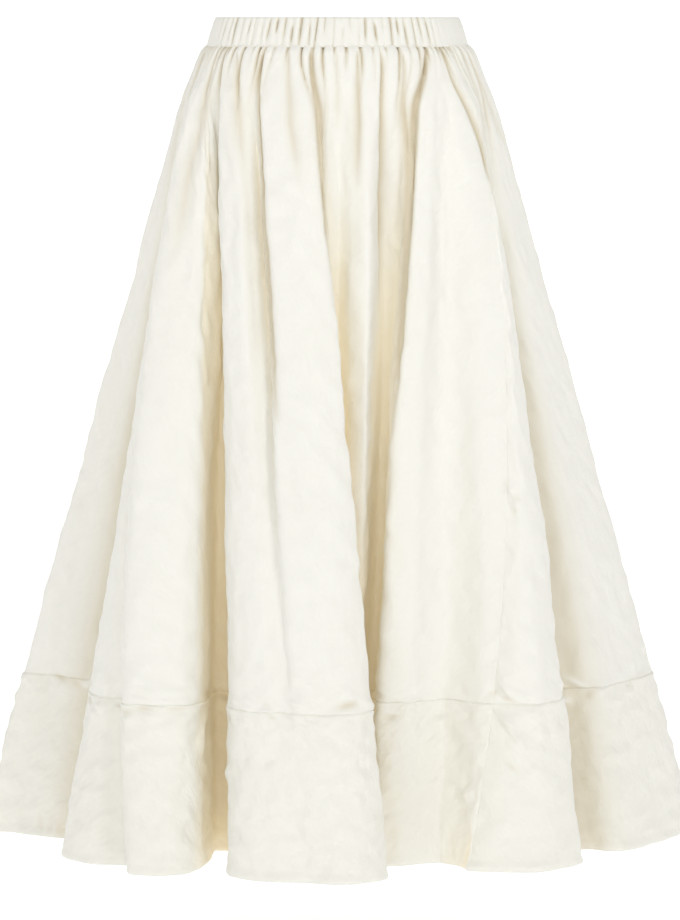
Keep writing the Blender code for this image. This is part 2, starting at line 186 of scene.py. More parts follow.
CREASES = (
    Crease("a_soft", ((1.6, -20), (2.2, -170)), 1.6, 6.0),
    Crease("b_soft", ((5.2, -20), (4.6, -150)), 2.0, 5.5),
    Crease("b_low", ((7.2, -120), (7.1, -330)), 1.8, 5.0, 0.3),
    Crease("c_soft", ((10.45, -40), (10.3, -98), (9.8, -134), (9.6, -235)), 2.2, 6.0),
    Crease("c_short", ((11.6, -18), (11.2, -120)), 1.8, 4.0),
    Crease(
        "cd_valley",
        ((13.65, -16), (14.35, -70), (14.3, -130), (14.1, -190), (14.0, -250)),
        6.0,
        4.0,
        0.5,
    ),
    Crease("d_soft", ((15.9, -18), (17.05, -76), (17.6, -135)), 2.4, 5.0, 0.2),
    Crease("dip_valley", ((19.3, -16), (20.1, -70), (20.15, -224), (20.1, -400)), 6.0, 6.0, 0.5),
    Crease("d_second", ((21.6, -18), (21.5, -90), (21.75, -150)), 2.6, 4.5, -0.2),
    Crease("d_edge", ((23.3, -16), (23.05, -64), (23.1, -112), (23.2, -240)), 6.0, 5.5, -0.55),
    Crease("mid_thin", ((25.85, -18), (25.85, -100)), 1.8, 2.6),
    Crease("m_left", ((27.3, -18), (27.4, -90), (27.2, -160)), 3.4, 4.0, 0.25),
    Crease("m_right", ((28.9, -16), (29.25, -148), (29.3, -280)), 4.5, 4.5, -0.4),
    Crease("e_under", ((30.7, -18), (31.4, -96), (32.2, -150)), 3.0, 4.0),
    Crease("e_left", ((33.2, -16), (33.0, -64), (32.8, -134), (32.8, -200), (32.8, -380)), 8.0, 6.5, 0.6),
    Crease("e_fill", ((35.0, -150), (35.0, -1200)), -3.0, 15.0),
    Crease(
        "e_right",
        ((36.05, -16), (36.15, -54), (36.45, -76), (36.95, -112), (37.9, -140), (39.6, -180), (40.6, -250)),
        4.6,
        4.5,
        -0.45,
    ),
    Crease("cd_fill", ((12.5, -90), (12.4, -200), (12.3, -420)), -6.5, 12.0),
    Crease("dip_fill", ((20.1, -400), (20.0, -780)), -4.5, 11.0),
    # The next two are wide, shallow troughs whose main work is painted shade, through the hollow mask,
    # beside the edges of folds B and E.
    Crease("ab_shade", ((3.0, -150), (2.8, -400), (2.8, -1100)), 2.7, 24.0, 0.2),
    Crease("ef_shade", ((41.2, -190), (41.6, -400), (41.8, -1100)), 2.6, 26.0, -0.2),
    Crease("f_soft", ((42.35, -25), (43.05, -72), (44.5, -125)), 2.0, 5.0),
    Crease("f_second", ((41.3, -18), (41.2, -180)), 1.8, 6.0),
    Crease("g_valley", ((48.3, -18), (48.2, -280)), 5.0, 6.0, 0.4),
    Crease("g_soft", ((51.4, -20), (50.7, -170)), 2.0, 6.0),
    Crease("gh_valley", ((53.8, -16), (54.0, -260)), 6.0, 5.5, -0.4),
    Crease("h_soft", ((57.5, -18), (57.0, -190)), 2.2, 5.5),
    Crease("hi_valley", ((60.3, -16), (60.0, -280)), 6.5, 5.5, 0.45),
    Crease("i_soft", ((62.8, -18), (63.3, -160)), 2.0, 5.5),
    Crease("i_short", ((64.4, -18), (64.7, -120)), 2.0, 4.5),
    Crease("ij_valley", ((66.2, -16), (66.0, -290)), 6.5, 5.5, -0.45),
    Crease("j_soft", ((69.3, -18), (69.0, -180)), 2.2, 5.5),
    Crease("jk_valley", ((72.2, -18), (72.0, -250)), 5.0, 6.0, 0.4),
    Crease("k_soft", ((74.4, -20), (74.1, -160)), 1.8, 6.0),
)


class Lump(NamedTuple):
    """A small pucker: fold line number, then height, half length, half width and rise in mm.

    It is tilted by its last number in degrees. A rise below nothing makes a dimple.
    """

    line: float
    z: float
    length: float
    width: float
    rise: float
    tilt: float


LUMPS = (
    Lump(9.45, -675, 9, 3.2, 1.5, -8),
    Lump(9.55, -684, 10, 2.4, -1.2, 4),
    Lump(9.75, -691, 12, 3.6, 1.2, 8),
    Lump(10.35, -676, 12, 3.0, 1.3, 6),
    Lump(10.45, -684, 12, 2.2, -1.1, 2),
    Lump(10.7, -692, 12, 4.0, 1.0, -10),
    Lump(10.2, -664, 10, 5.0, 0.9, -30),
    Lump(9.35, -655, 5, 9.0, 0.8, 20),
    Lump(9.6, -640, 6, 5.0, 0.7, -35),
    Lump(9.9, -610, 9, 4.0, 0.6, 30),
    Lump(9.3, -570, 4, 11.0, 0.6, 5),
    Lump(9.25, -540, 4, 9.0, 0.6, -5),
    Lump(15.6, -672, 12, 3.0, 0.9, 8),
    Lump(16.1, -690, 14, 4.0, 0.8, -12),
    Lump(16.8, -676, 9, 3.0, -0.7, 20),
    Lump(17.4, -700, 12, 3.5, 0.6, 25),
    Lump(37.25, -462, 9, 2.6, 1.1, 25),
    Lump(37.3, -472, 10, 2.4, -0.9, -20),
    Lump(37.35, -480, 11, 3.0, 1.3, -32),
    Lump(37.3, -490, 10, 2.4, -0.9, 35),
    Lump(37.4, -497, 12, 3.0, 1.2, -15),
    Lump(37.3, -508, 8, 2.4, 0.8, 12),
    Lump(37.35, -652, 10, 2.6, 1.1, -25),
    Lump(37.45, -664, 12, 3.0, 1.4, -40),
    Lump(37.5, -675, 12, 2.6, -1.0, -20),
    Lump(37.3, -690, 12, 2.8, 1.3, -50),
    Lump(37.75, -700, 16, 3.2, 1.2, -55),
    Lump(38.1, -716, 16, 3.2, 1.1, -50),
    Lump(38.3, -735, 14, 3.0, 0.9, -45),
    Lump(37.9, -742, 10, 2.6, -0.7, -40),
    Lump(38.5, -690, 10, 3.0, 0.9, -20),
    Lump(43.3, -684, 10, 3.0, 1.2, 18),
    Lump(43.9, -690, 12, 3.4, 1.1, -10),
    Lump(44.5, -680, 12, 3.0, 1.1, 24),
    Lump(43.6, -705, 12, 4.0, 0.9, 40),
    Lump(44.1, -712, 12, 3.6, 0.8, -25),
    Lump(39.4, -838, 14, 3.0, 0.9, 4),
    Lump(38.6, -840, 16, 3.0, 0.9, 0),
    Lump(37.4, -841, 16, 3.0, 0.9, 2),
    Lump(35.2, -832, 3.0, 9, -0.9, 8),
    Lump(35.5, -834, 3.0, 8, 0.7, -6),
    Lump(1.55, -834, 2.6, 9, -0.9, 6),
    Lump(1.85, -836, 2.6, 8, -0.8, -4),
    Lump(2.15, -838, 2.6, 8, -0.8, 5),
    Lump(0.9, -690, 11, 3.4, 1.0, -18),
    Lump(1.4, -700, 10, 4.5, 0.9, 50),
    Lump(6.1, -692, 10, 3.2, 0.8, -12),
)


LINE_NAMES = tuple(fold.name for fold in FOLDS)


class Side(Enum):
    """The four sides of the skirt, each with its first and last fold line."""

    FRONT = ("front", "left_seam", "right_seam")
    RIGHT = ("right", "right_seam", "right_back_seam")
    BACK = ("back", "right_back_seam", "left_back_seam")
    LEFT = ("left", "left_back_seam", "left_seam")

    @property
    def word(self) -> str:
        """The side's name in node and piece names."""
        return self.value[0]

    @property
    def lines(self) -> tuple[int, int]:
        """Numbers of the first and the last fold line, growing round the skirt."""
        first = LINE_NAMES.index(self.value[1])
        last = LINE_NAMES.index(self.value[2])
        return first, last if last > first else last + len(FOLDS)


class Half(Enum):
    """The two halves of the waistband."""

    FRONT = "front"
    BACK = "back"


def column(name: str) -> Array:
    """A field of the fold table as an array, in the table's own unit."""
    return np.array([getattr(fold, name) for fold in FOLDS], dtype=float)


def ellipse(half_width: Array, half_depth: Array, degrees: Array) -> Array:
    """Points of an ellipse in plan: x is width times cosine, y is minus depth times sine.

    Args:
        half_width: Half the ring's width.
        half_depth: Half the ring's depth.
        degrees: Angle from the right side towards the front.

    Returns:
        Points with x and y in the last axis.
    """
    angle = np.radians(degrees)
    return np.stack((half_width * np.cos(angle), -half_depth * np.sin(angle)), axis=-1)


def bell(distance: Array, width: float | Array, power: float = 2.0) -> Array:
    """One at no distance, falling to nothing: e to minus (distance over width) to a power."""
    return np.exp(-((np.abs(distance) / width) ** power))


def smooth_step(share: Array) -> Array:
    """Share squared times (three less twice the share), with the share held from 0 to 1."""
    held = np.clip(share, 0.0, 1.0)
    return held * held * (3.0 - 2.0 * held)


@dataclass(frozen=True)
class SkirtForm:
    """The middle surface of the cloth: a smooth body whose fold lines part towards the hem."""

    waist_seam: float = -15.8 * MM
    hem_seam: float = -681.0 * MM
    hem_foot: float = -846.5 * MM
    side_rise: float = 6.0 * MM
    rise_start: float = -60.0 * MM
    hem_half_width: float = 380.0 * MM
    hem_half_depth: float = 286.0 * MM
    fold_start: float = -46.0 * MM
    fold_onset: float = 0.05
    dent_peak: float = 256.0 / 27.0
    ring_samples: int = 20
    girths: tuple[Girth, ...] = (
        Girth(-11.0, 134.2, 96.0),
        Girth(-14.2, 137.6, 99.0),
        Girth(-16.0, 139.8, 100.6),
        Girth(-19.0, 142.0, 102.3),
        Girth(-24.0, 144.9, 104.5),
        Girth(-30.0, 147.5, 106.5),
        Girth(-45.0, 153.0, 110.5),
        Girth(-62.0, 160.0, 116.0),
        Girth(-81.0, 166.5, 121.0),
    )

    def girth(self, z: Array) -> tuple[Array, Array]:
        """Half width and half depth of the smooth body.

        Above the hip the table is read by straight lines. Below it the body is a cone to the hem:
        hip size plus (hem size less hip size) times the share of the way down.

        Args:
            z: Heights in metres.

        Returns:
            Half widths and half depths in metres, in the shape of z.
        """
        rows = self.girths[::-1]
        heights = np.array([row.z for row in rows]) * MM
        widths = np.array([row.half_width for row in rows]) * MM
        depths = np.array([row.half_depth for row in rows]) * MM
        share = np.maximum(0.0, (heights[0] - z) / (heights[0] - self.hem_foot))
        width = np.interp(z, heights, widths) + (self.hem_half_width - widths[0]) * share
        depth = np.interp(z, heights, depths) + (self.hem_half_depth - depths[0]) * share
        return width, depth

    def fold_points(self, z: Array) -> Array:
        """Plan positions of every fold line at every height.

        A line starts on the body's ellipse. Its offset at the hem grows with the share fallen,
        as the share squared times (1 + onset) over (share + onset). A bow of four times share
        times (1 - share) and a dent towards the body, share times (1 - share) cubed, are added.

        Args:
            z: Heights of the rows in metres.

        Returns:
            An array of rows by fold lines by x and y.
        """
        rows = z[:, None]
        hip = self.girths[-1].z * MM
        blend = smooth_step((self.waist_seam - rows) / (self.waist_seam - hip))
        degrees = column("waist") + (column("hip") - column("waist")) * blend
        half_width, half_depth = self.girth(rows)
        body = ellipse(half_width, half_depth, degrees)
        fall = np.maximum(0.0, (self.fold_start - rows) / (self.fold_start - self.hem_foot))
        spread = fall * fall * (1.0 + self.fold_onset) / (fall + self.fold_onset)
        hem = np.stack((column("hem_x"), -column("hem_depth")), axis=-1) * MM
        bow = np.stack((column("bow_x"), -column("bow_depth")), axis=-1) * MM
        body_at_hem = ellipse(self.hem_half_width, self.hem_half_depth, degrees)
        inwards = -body / np.stack((half_width**2, half_depth**2), axis=-1)
        inwards /= np.linalg.norm(inwards, axis=-1, keepdims=True)
        dent = column("dent") * MM * self.dent_peak * fall * (1.0 - fall) ** 3
        curve = 4.0 * fall * (1.0 - fall)
        parted = body + (hem - body_at_hem) * spread[..., None]
        return parted + bow * curve[..., None] + inwards * dent[..., None]

    def plan(self, z: Array, line: Array) -> Array:
        """Plan positions of the cloth's middle.

        Between two fold lines the curve is a closed Hermite spline whose speed goes with the root
        of the chord, so that it neither loops nor overshoots at a tight turn.

        Args:
            z: Heights of the rows in metres.
            line: Fold line numbers of the columns, with the share of the way to the next.

        Returns:
            An array of rows by columns by x and y.
        """
        points = self.fold_points(z)
        after = np.roll(points, -1, axis=1)
        chord = np.sqrt(np.linalg.norm(after - points, axis=-1, keepdims=True))
        chord_before = np.roll(chord, 1, axis=1)
        slope = (after - points) / chord
        slope_before = np.roll(slope, 1, axis=1)
        tangent = (slope_before * chord + slope * chord_before) / (chord + chord_before)
        whole = np.floor(line).astype(int)
        share = (line - whole)[None, :, None]
        here = whole % len(FOLDS)
        there = (whole + 1) % len(FOLDS)
        out = tangent[:, here] * chord[:, here]
        into = tangent[:, there] * chord[:, here]
        return (
            points[:, here] * (1.0 + 2.0 * share) * (1.0 - share) ** 2
            + out * share * (1.0 - share) ** 2
            + points[:, there] * share**2 * (3.0 - 2.0 * share)
            + into * share**2 * (share - 1.0)
        )

    def metres_round(self, line: Array) -> tuple[Array, float]:
        """Metres round the skirt at the band seam, from the first fold line.

        Args:
            line: Fold line numbers, which may pass the last line and go on round.

        Returns:
            The metres of each line, and the metres once round.
        """
        count = len(FOLDS)
        fine = np.linspace(0.0, count, count * self.ring_samples + 1)
        ring = self.plan(np.array([self.hem_seam]), fine)[0]
        run = np.concatenate(([0.0], np.cumsum(np.linalg.norm(np.diff(ring, axis=0), axis=1))))
        turns = np.floor(line / count)
        return turns * run[-1] + np.interp(line - turns * count, fine, run), float(run[-1])

    def height(self, z: Array, x: Array) -> Array:
        """True height: the row's height plus a rise towards the sides, fullest at the band seam.

        Args:
            z: Heights of the rows in metres, as a column.
            x: Plan positions across, rows by columns.

        Returns:
            Heights in metres, rows by columns.
        """
        down = (self.rise_start - z) / (self.rise_start - self.hem_seam)
        up = (z - self.hem_foot) / (self.hem_seam - self.hem_foot)
        share = np.clip(np.minimum(down, up), 0.0, 1.0)
        return z + self.side_rise * share * (x / self.hem_half_width) ** 2


class HiddenFolds:
    """How much of the light in front of each place the main folds on both sides keep from it."""

    per_line: int = 8
    reach: int = 56
    row_count: int = 64

    def __init__(self, form: SkirtForm) -> None:
        """Work out the hidden share on a coarse grid over the whole skirt.

        In each level ring, a place looks outwards from the ring's ellipse. On each side the
        steepest line to a near part of the ring is its horizon. The hidden share is one less the
        mean of the two horizons' cosines.

        Args:
            form: The skirt's middle surface.
        """
        self.heights = np.linspace(form.waist_seam, form.hem_foot, self.row_count)
        count = len(FOLDS) * self.per_line
        ring = form.plan(self.heights, np.arange(count) / self.per_line)
        width, depth = form.girth(self.heights[:, None])
        out = ring / np.stack(np.broadcast_arrays(width**2, depth**2), axis=-1)
        out /= np.linalg.norm(out, axis=-1, keepdims=True)
        onward = np.stack((-out[..., 1], out[..., 0]), axis=-1)
        shown = np.zeros(ring.shape[:2])
        for way in (1, -1):
            horizon = np.zeros(ring.shape[:2])
            for step in range(1, self.reach + 1):
                chord = np.roll(ring, -way * step, axis=1) - ring
                rise = np.sum(chord * out, axis=-1)
                run = np.sum(chord * onward, axis=-1) * way
                horizon = np.maximum(horizon, np.arctan2(rise, run) * (rise > 0.0))
            shown += 0.5 * np.cos(horizon)
        self.hidden = np.clip(1.0 - shown, 0.0, 1.0)

    def share(self, z: Array, line: Array) -> Array:
        """Read the hidden share between the coarse grid's places.

        Args:
            z: Heights of the rows in metres.
            line: Fold line numbers of the columns.

        Returns:
            Shares from 0 to 1, rows by columns.
        """
        row = np.interp(-z, -self.heights, np.arange(self.row_count))
        low = np.minimum(row.astype(int), self.row_count - 2)
        part = (row - low)[:, None]
        rows = self.hidden[low] * (1.0 - part) + self.hidden[low + 1] * part
        count = rows.shape[1]
        at = (line * self.per_line) % count
        left = at.astype(int) % count
        part = at - np.floor(at)
        return rows[:, left] * (1.0 - part) + rows[:, (left + 1) % count] * part


@dataclass(frozen=True)
class Crinkle:
    """Uneven cloth: a sum of long waves, each in its own direction and with its own start."""

    shortest: float
    longest: float
    rise: float
    waves: int
    seed: int
    upright: float = 0.0
    bend: float = 0.8
    bend_length: float = 2.7
    bend_start: float = 1.7

    def field(self, across: Array, down: Array, whole: float) -> Array:
        """Height of the crinkles: rise times the sum of cosines over the root of half their number.

        Each wave fits a whole number of times round the skirt, so that it joins up at every seam,
        and bends from side to side on its way down as a slower sine.

        Args:
            across: Metres round the skirt at the hem.
            down: Metres down from the waist.
            whole: Metres once round.

        Returns:
            Heights in metres, in the shape of the two places together.
        """
        draw = np.random.default_rng(self.seed)
        total = np.zeros(np.broadcast(across, down).shape)
        for _ in range(self.waves):
            length = self.shortest * (self.longest / self.shortest) ** draw.random()
            turn = draw.uniform(-math.pi / 2, math.pi / 2) * (1.0 - self.upright)
            start = draw.uniform(0.0, 2.0 * math.pi)
            times = round(whole * math.cos(turn) / length)
            pull = (across * times / whole + down * math.sin(turn) / length) * 2.0 * math.pi
            way = down * 2.0 * math.pi / (length * self.bend_length) + start * self.bend_start
            total = total + np.cos(pull + start + self.bend * np.sin(way))
        return total * self.rise / math.sqrt(self.waves / 2.0)


@dataclass(frozen=True)
class Gathers:
    """Gathers under the waist seam: narrow valleys between round tops, each of its own length."""

    depth: float = 4.6 * MM
    wide: float = 2.4 * MM
    narrow: float = 0.75 * MM
    widening: float = 0.022
    swell: float = 7.0 * MM
    seam_share: float = 0.60
    short: float = 15.0 * MM
    long: float = 100.0 * MM
    length_power: float = 2.5
    depth_range: tuple[float, float] = (0.25, 1.45)
    even_gap: float = 4.5
    least_share: float = 0.4
    wander: float = 0.16
    sway: float = 0.12
    sway_rate: float = 70.0
    drift_top: float = 0.4
    drift_run: float = 0.08
    fade_power: float = 1.5
    wide_share: float = 0.45
    wide_power: float = 1.7
    narrow_widening: float = 0.55
    narrow_power: float = 1.5
    puff: float = 0.5 * MM
    puff_middle: float = 4.0 * MM
    puff_reach: float = 4.5 * MM
    pit_depth: float = 3.6 * MM
    pit_height: float = 8.0 * MM
    pit_tip: float = 0.3 * MM
    pit_spread: float = 1.2 * MM
    pit_least: float = 0.35
    pit_growth: float = 0.75
    seed: int = 41

    def numbers(self) -> Array:
        """Fold line number of each gather's valley."""
        counts = column("gathers").astype(int)
        pairs = ((line, part, count) for line, count in enumerate(counts) for part in range(count))
        return np.array([line + (part + 0.5) / count for line, part, count in pairs])

    def relief(self, grid: "ClothGrid") -> Array:
        """Height of the cloth over its middle surface: puffs under the seam, less the valleys.

        Each valley is a wide bell and a narrow one across the metres from its line, times its own
        depth, times e to minus (metres below the seam over its own length) to a power. Its line
        sways as a sine on the way down. A pit shaped as a small triangle sits at the seam in it.

        Args:
            grid: The piece's grid, with metres along each row.

        Returns:
            Heights in metres, rows by columns.
        """
        places = self.numbers()
        draw = np.random.default_rng(self.seed)
        count = len(places)
        depth = self.depth * draw.uniform(*self.depth_range, count)
        length = self.short * (self.long / self.short) ** (draw.random(count) ** self.length_power)
        around = np.append(column("waist"), column("waist")[0] - 360.0)
        gap = np.interp(places, np.arange(len(FOLDS)) + 0.5, -np.diff(around))
        length *= np.clip(gap / self.even_gap, self.least_share, 1.0)
        wander = draw.uniform(-self.wander, self.wander, count)
        turn = draw.uniform(0.0, 2.0 * math.pi, count)
        below = np.maximum(0.0, grid.form.waist_seam - grid.z)
        grown = self.seam_share + (1.0 - self.seam_share) * np.minimum(1.0, below / self.swell)
        pit = np.maximum(0.0, 1.0 - below / self.pit_height)
        puff = self.puff * bell(below - self.puff_middle, self.puff_reach)
        total = np.broadcast_to(puff[:, None], grid.shape).copy()
        for place, turned in grid.near(places):
            drift = wander[turned] + self.sway * np.sin(below * self.sway_rate + turn[turned])
            grow = self.drift_top + np.minimum(1.0, below / self.drift_run)
            away = grid.metres_from(place + drift * grow)
            fade = np.exp(-((below / length[turned]) ** self.fade_power))
            wide = (self.wide + self.widening * below)[:, None]
            narrow = (self.narrow + self.widening * self.narrow_widening * below)[:, None]
            valley = self.wide_share * bell(away, wide, self.wide_power)
            valley = valley + (1.0 - self.wide_share) * bell(away, narrow, self.narrow_power)
            triangle = bell(away, (self.pit_tip + self.pit_spread * pit)[:, None]) * pit[:, None]
            total -= depth[turned] * (grown * fade)[:, None] * valley
            share = self.pit_least + depth[turned] / self.depth * self.pit_growth
            total -= self.pit_depth * triangle * share
        return total


@dataclass(frozen=True)
class LongCreases:
    """The long troughs that run down from the waist, each placed one by one."""

    start: float = 0.10
    start_early: float = 0.4
    past_end: float = 1.15
    fading: float = 0.45
    top_share: float = 0.30
    crisp_power: float = 1.5
    round_power: float = 2.0
    round_from: float = 10.0

    def relief(self, grid: "ClothGrid") -> Array:
        """Height of the troughs: depth times a bell across, and a smooth start and end.

        The trough follows its path by straight lines. It widens on the way down, its lean makes
        one flank wider than the other, and its last part fades as a smooth step. A wide one has a
        round bottom, and a narrow one a crisp one.

        Args:
            grid: The piece's grid.

        Returns:
            Heights in metres, rows by columns.
        """
        total = np.zeros(grid.shape)
        for crease in CREASES:
            lines = np.array([point[0] for point in crease.path])
            heights = np.array([point[1] for point in crease.path]) * MM
            top, foot = heights[0], heights[-1]
            place = np.interp(-grid.z, -heights, lines)
            share = (top - grid.z) / (top - foot)
            strength = smooth_step((top - grid.z) / (self.start * (top - foot)) + self.start_early)
            strength = strength * smooth_step((self.past_end - share) / (self.past_end * self.fading))
            width = (crease.width * MM * (self.top_share + np.clip(share * 2.0, 0.0, 1.0)))[:, None]
            power = self.crisp_power if crease.width < self.round_from else self.round_power
            for shifted in grid.wrapped(place):
                away = grid.metres_from(shifted)
                flank = width * np.where(away < 0.0, 1.0 + crease.lean, 1.0 - crease.lean)
                total -= crease.depth * MM * strength[:, None] * bell(away, flank, power)
        return total


class Range(NamedTuple):
    """The least and the most of an uneven size."""

    least: float
    most: float


@dataclass(frozen=True)
class Puckers:
    """Small puckers at the seams: the ones that show, and uneven rows of them along every seam.

    Lengths, widths, rises and heights are in mm, as in the table of puckers, and tilts in degrees.
    A ladder's own ranges are shares of its length, width, rise and step.
    """

    seams: tuple[tuple[str, float, float], ...] = (
        ("right_seam", -300.0, -660.0),
        ("left_seam", -380.0, -640.0),
        ("right_back_seam", -260.0, -640.0),
        ("left_back_seam", -300.0, -650.0),
    )
    ladder_length: float = 6.5
    ladder_width: float = 2.6
    ladder_rise: float = 1.3
    ladder_lengths: Range = Range(0.6, 1.2)
    ladder_widths: Range = Range(0.8, 1.2)
    ladder_rises: Range = Range(0.4, 1.1)
    ladder_lines: float = 0.10
    ladder_tilt: float = 14.0
    step: float = 9.0
    steps: Range = Range(0.7, 1.5)
    band_start: float = 45.5
    band_end: float = 44.0
    band_up: float = 0.7
    band_height: Range = Range(-703.0, -664.0)
    band_length: Range = Range(6.0, 14.0)
    band_width: Range = Range(2.4, 4.2)
    band_rise: Range = Range(0.5, 1.35)
    band_gap: Range = Range(0.25, 0.75)
    band_tilt: float = 35.0
    reach: float = 3.5
    strength: float = 2.3
    seed: int = 77

    def ladder(self) -> list[Lump]:
        """Short level puckers beside the four upright seams, unevenly spaced."""
        draw = np.random.default_rng(self.seed)
        lumps: list[Lump] = []
        for seam, z, foot in self.seams:
            line = LINE_NAMES.index(seam) + self.ladder_lines
            while z > foot:
                length = self.ladder_length * draw.uniform(*self.ladder_lengths)
                width = self.ladder_width * draw.uniform(*self.ladder_widths)
                rise = self.ladder_rise * draw.uniform(*self.ladder_rises)
                tilt = draw.uniform(-self.ladder_tilt, self.ladder_tilt)
                lumps.append(Lump(line, z, length, width, rise, tilt))
                z -= self.step * draw.uniform(*self.steps)
        return lumps

    def band(self) -> list[Lump]:
        """Puckers on both sides of the band seam, all round."""
        draw = np.random.default_rng(self.seed + 1)
        lumps: list[Lump] = []
        line = self.band_start
        while line < len(FOLDS) + self.band_end:
            sign = 1.0 if draw.random() < self.band_up else -1.0
            z = draw.uniform(*self.band_height)
            length = draw.uniform(*self.band_length)
            width = draw.uniform(*self.band_width)
            rise = sign * draw.uniform(*self.band_rise)
            tilt = draw.uniform(-self.band_tilt, self.band_tilt)
            lumps.append(Lump(line % len(FOLDS), z, length, width, rise, tilt))
            line += draw.uniform(*self.band_gap)
        return lumps

    def relief(self, grid: "ClothGrid") -> Array:
        """Height of the puckers: rise times a tilted bell in two directions.

        Args:
            grid: The piece's grid.

        Returns:
            Heights in metres, rows by columns.
        """
        total = np.zeros(grid.shape)
        for lump in (*LUMPS, *self.ladder(), *self.band()):
            rows = np.abs(grid.z - lump.z * MM) < self.reach * MM * max(lump.length, lump.width)
            if not rows.any():
                continue
            place = np.full(grid.z.shape, lump.line)
            cosine = math.cos(math.radians(lump.tilt))
            sine = math.sin(math.radians(lump.tilt))
            up = (grid.z - lump.z * MM)[rows, None]
            for shifted in grid.wrapped(place):
                away = grid.metres_from(shifted)[rows]
                along = (away * cosine + up * sine) / (lump.length * MM)
                across = (up * cosine - away * sine) / (lump.width * MM)
                total[rows] += self.strength * lump.rise * MM * np.exp(-(along**2) - across**2)
        return total


class ClothGrid:
    """A grid of rows down the skirt and columns round it, with the metres along each row."""

    margin: int = 32
    margin_lines: float = 3.2
    border_lines: float = 0.2
    nudge: float = 0.02

    def __init__(self, form: SkirtForm, z: Array, line: Array) -> None:
        """Work out plan positions, outward normals and metres along the rows.

        Args:
            form: The skirt's middle surface.
            z: Heights of the rows in metres, from the top down.
            line: Fold line numbers of the columns, growing.
        """
        self.form = form
        self.z = z
        self.inner = line
        reach = np.linspace(0.0, self.margin_lines, self.margin + 1)[1:]
        self.line = np.concatenate((line[0] - reach[::-1], line, line[-1] + reach))
        self.place = form.plan(z, self.line)
        step = np.linalg.norm(np.diff(self.place, axis=1), axis=-1)
        self.metres = np.concatenate((np.zeros((len(z), 1)), np.cumsum(step, axis=1)), axis=1)
        tangent = form.plan(z, self.line + self.nudge) - form.plan(z, self.line - self.nudge)
        tangent /= np.linalg.norm(tangent, axis=-1, keepdims=True)
        self.normal = np.stack((tangent[..., 1], -tangent[..., 0]), axis=-1)
        self.round, self.once_round = form.metres_round(self.line)

    @property
    def shape(self) -> tuple[int, int]:
        """Rows and columns, the margin columns included."""
        return len(self.z), len(self.line)

    @property
    def kept(self) -> slice:
        """The columns that belong to the piece."""
        return slice(self.margin, len(self.line) - self.margin)

    def metres_from(self, place: Array) -> Array:
        """Metres along each row from a line that may move from row to row.

        Args:
            place: The line's fold line number at each row.

        Returns:
            Signed metres, rows by columns.
        """
        at = np.interp(place, self.line, np.arange(len(self.line)))
        low = np.minimum(np.floor(at).astype(int), len(self.line) - 2)
        rows = np.arange(len(self.z))
        share = at - low
        start = self.metres[rows, low] * (1.0 - share) + self.metres[rows, low + 1] * share
        return self.metres - start[:, None]

    def wrapped(self, place: Array) -> list[Array]:
        """The same line counted once more round the skirt, where it comes near this grid."""
        found = []
        for turn in (-len(FOLDS), 0, len(FOLDS)):
            shifted = place + turn
            if shifted.max() > self.line[0] and shifted.min() < self.line[-1]:
                found.append(shifted)
        return found

    def near(self, places: Array) -> list[tuple[float, int]]:
        """Lines near the grid with their number in the table, counted round as often as needed."""
        found = []
        for turn in (-len(FOLDS), 0, len(FOLDS)):
            for k, place in enumerate(places + turn):
                if self.line[0] + self.border_lines < place < self.line[-1] - self.border_lines:
                    found.append((float(place), k))
        return found


@dataclass(frozen=True)
class ShellMesh:
    """Makes closed shells from an outer and an inner grid of points."""

    name: str
    sharp_angle: float = 70.0

    def build(
        self, outer: Array, inner: Array, across: Array, down: Array, hollow: Array, deep: Array
    ) -> bpy.types.Object:
        """Join two grids into one closed shell with its map and its two masks of painted shade.

        Quads run over both grids, the inner turned round, and a strip closes each of the four
        borders, so every edge has two faces.

        Args:
            outer: Points of the outside, rows by columns by three, the top row first.
            inner: Points of the inside, in the same shape.
            across: The map's first coordinate in metres.
            down: The map's second coordinate in metres.
            hollow: Depth in a gather or crease from 0 to 1, which paints shade there.
            deep: Depth in a main fold from 0 to 1, which paints shade and a faint glow there.

        Returns:
            The new object at the origin.
        """
        rows, columns = outer.shape[:2]
        count = rows * columns
        number = np.arange(count).reshape(rows, columns)
        top_left, top_right = number[:-1, :-1], number[:-1, 1:]
        foot_left, foot_right = number[1:, :-1], number[1:, 1:]
        outside = np.stack((top_left, foot_left, foot_right, top_right), axis=-1).reshape(-1, 4)
        inside = outside[:, ::-1] + count
        rim = np.concatenate((number[0, ::-1], number[1:, 0], number[-1, 1:], number[-2:0:-1, -1]))
        ahead = np.roll(rim, -1)
        border = np.stack((rim, rim + count, ahead + count, ahead), axis=-1)
        faces = np.concatenate((outside, inside, border[:, ::-1]))
        points = np.concatenate((outer.reshape(-1, 3), inner.reshape(-1, 3)))
        mesh = bpy.data.meshes.new(self.name)
        mesh.vertices.add(len(points))
        mesh.vertices.foreach_set("co", points.astype(np.float32).ravel())
        mesh.loops.add(faces.size)
        mesh.loops.foreach_set("vertex_index", faces.astype(np.int32).ravel())
        mesh.polygons.add(len(faces))
        mesh.polygons.foreach_set("loop_start", np.arange(0, faces.size, 4, dtype=np.int32))
        mesh.update(calc_edges=True)
        mesh.validate()
        flat = np.stack((across.ravel(), down.ravel()), axis=-1)
        flat = np.concatenate((flat, flat)).astype(np.float32)
        uv = mesh.uv_layers.new(name=CLOTH_UV)
        uv.data.foreach_set("uv", flat[faces.ravel()].ravel())
        for word, mask in ((CREASE_SHADE_MASK, hollow), (FOLD_SHADE_MASK, deep)):
            layer = mesh.attributes.new(word, "FLOAT", "POINT")
            layer.data.foreach_set("value", np.tile(mask.ravel(), 2).astype(np.float32))
        mesh.polygons.foreach_set("use_smooth", np.ones(len(faces), dtype=bool))
        mesh.set_sharp_from_angle(angle=math.radians(self.sharp_angle))
        piece = bpy.data.objects.new(self.name, mesh)
        bpy.context.scene.collection.objects.link(piece)
        return piece


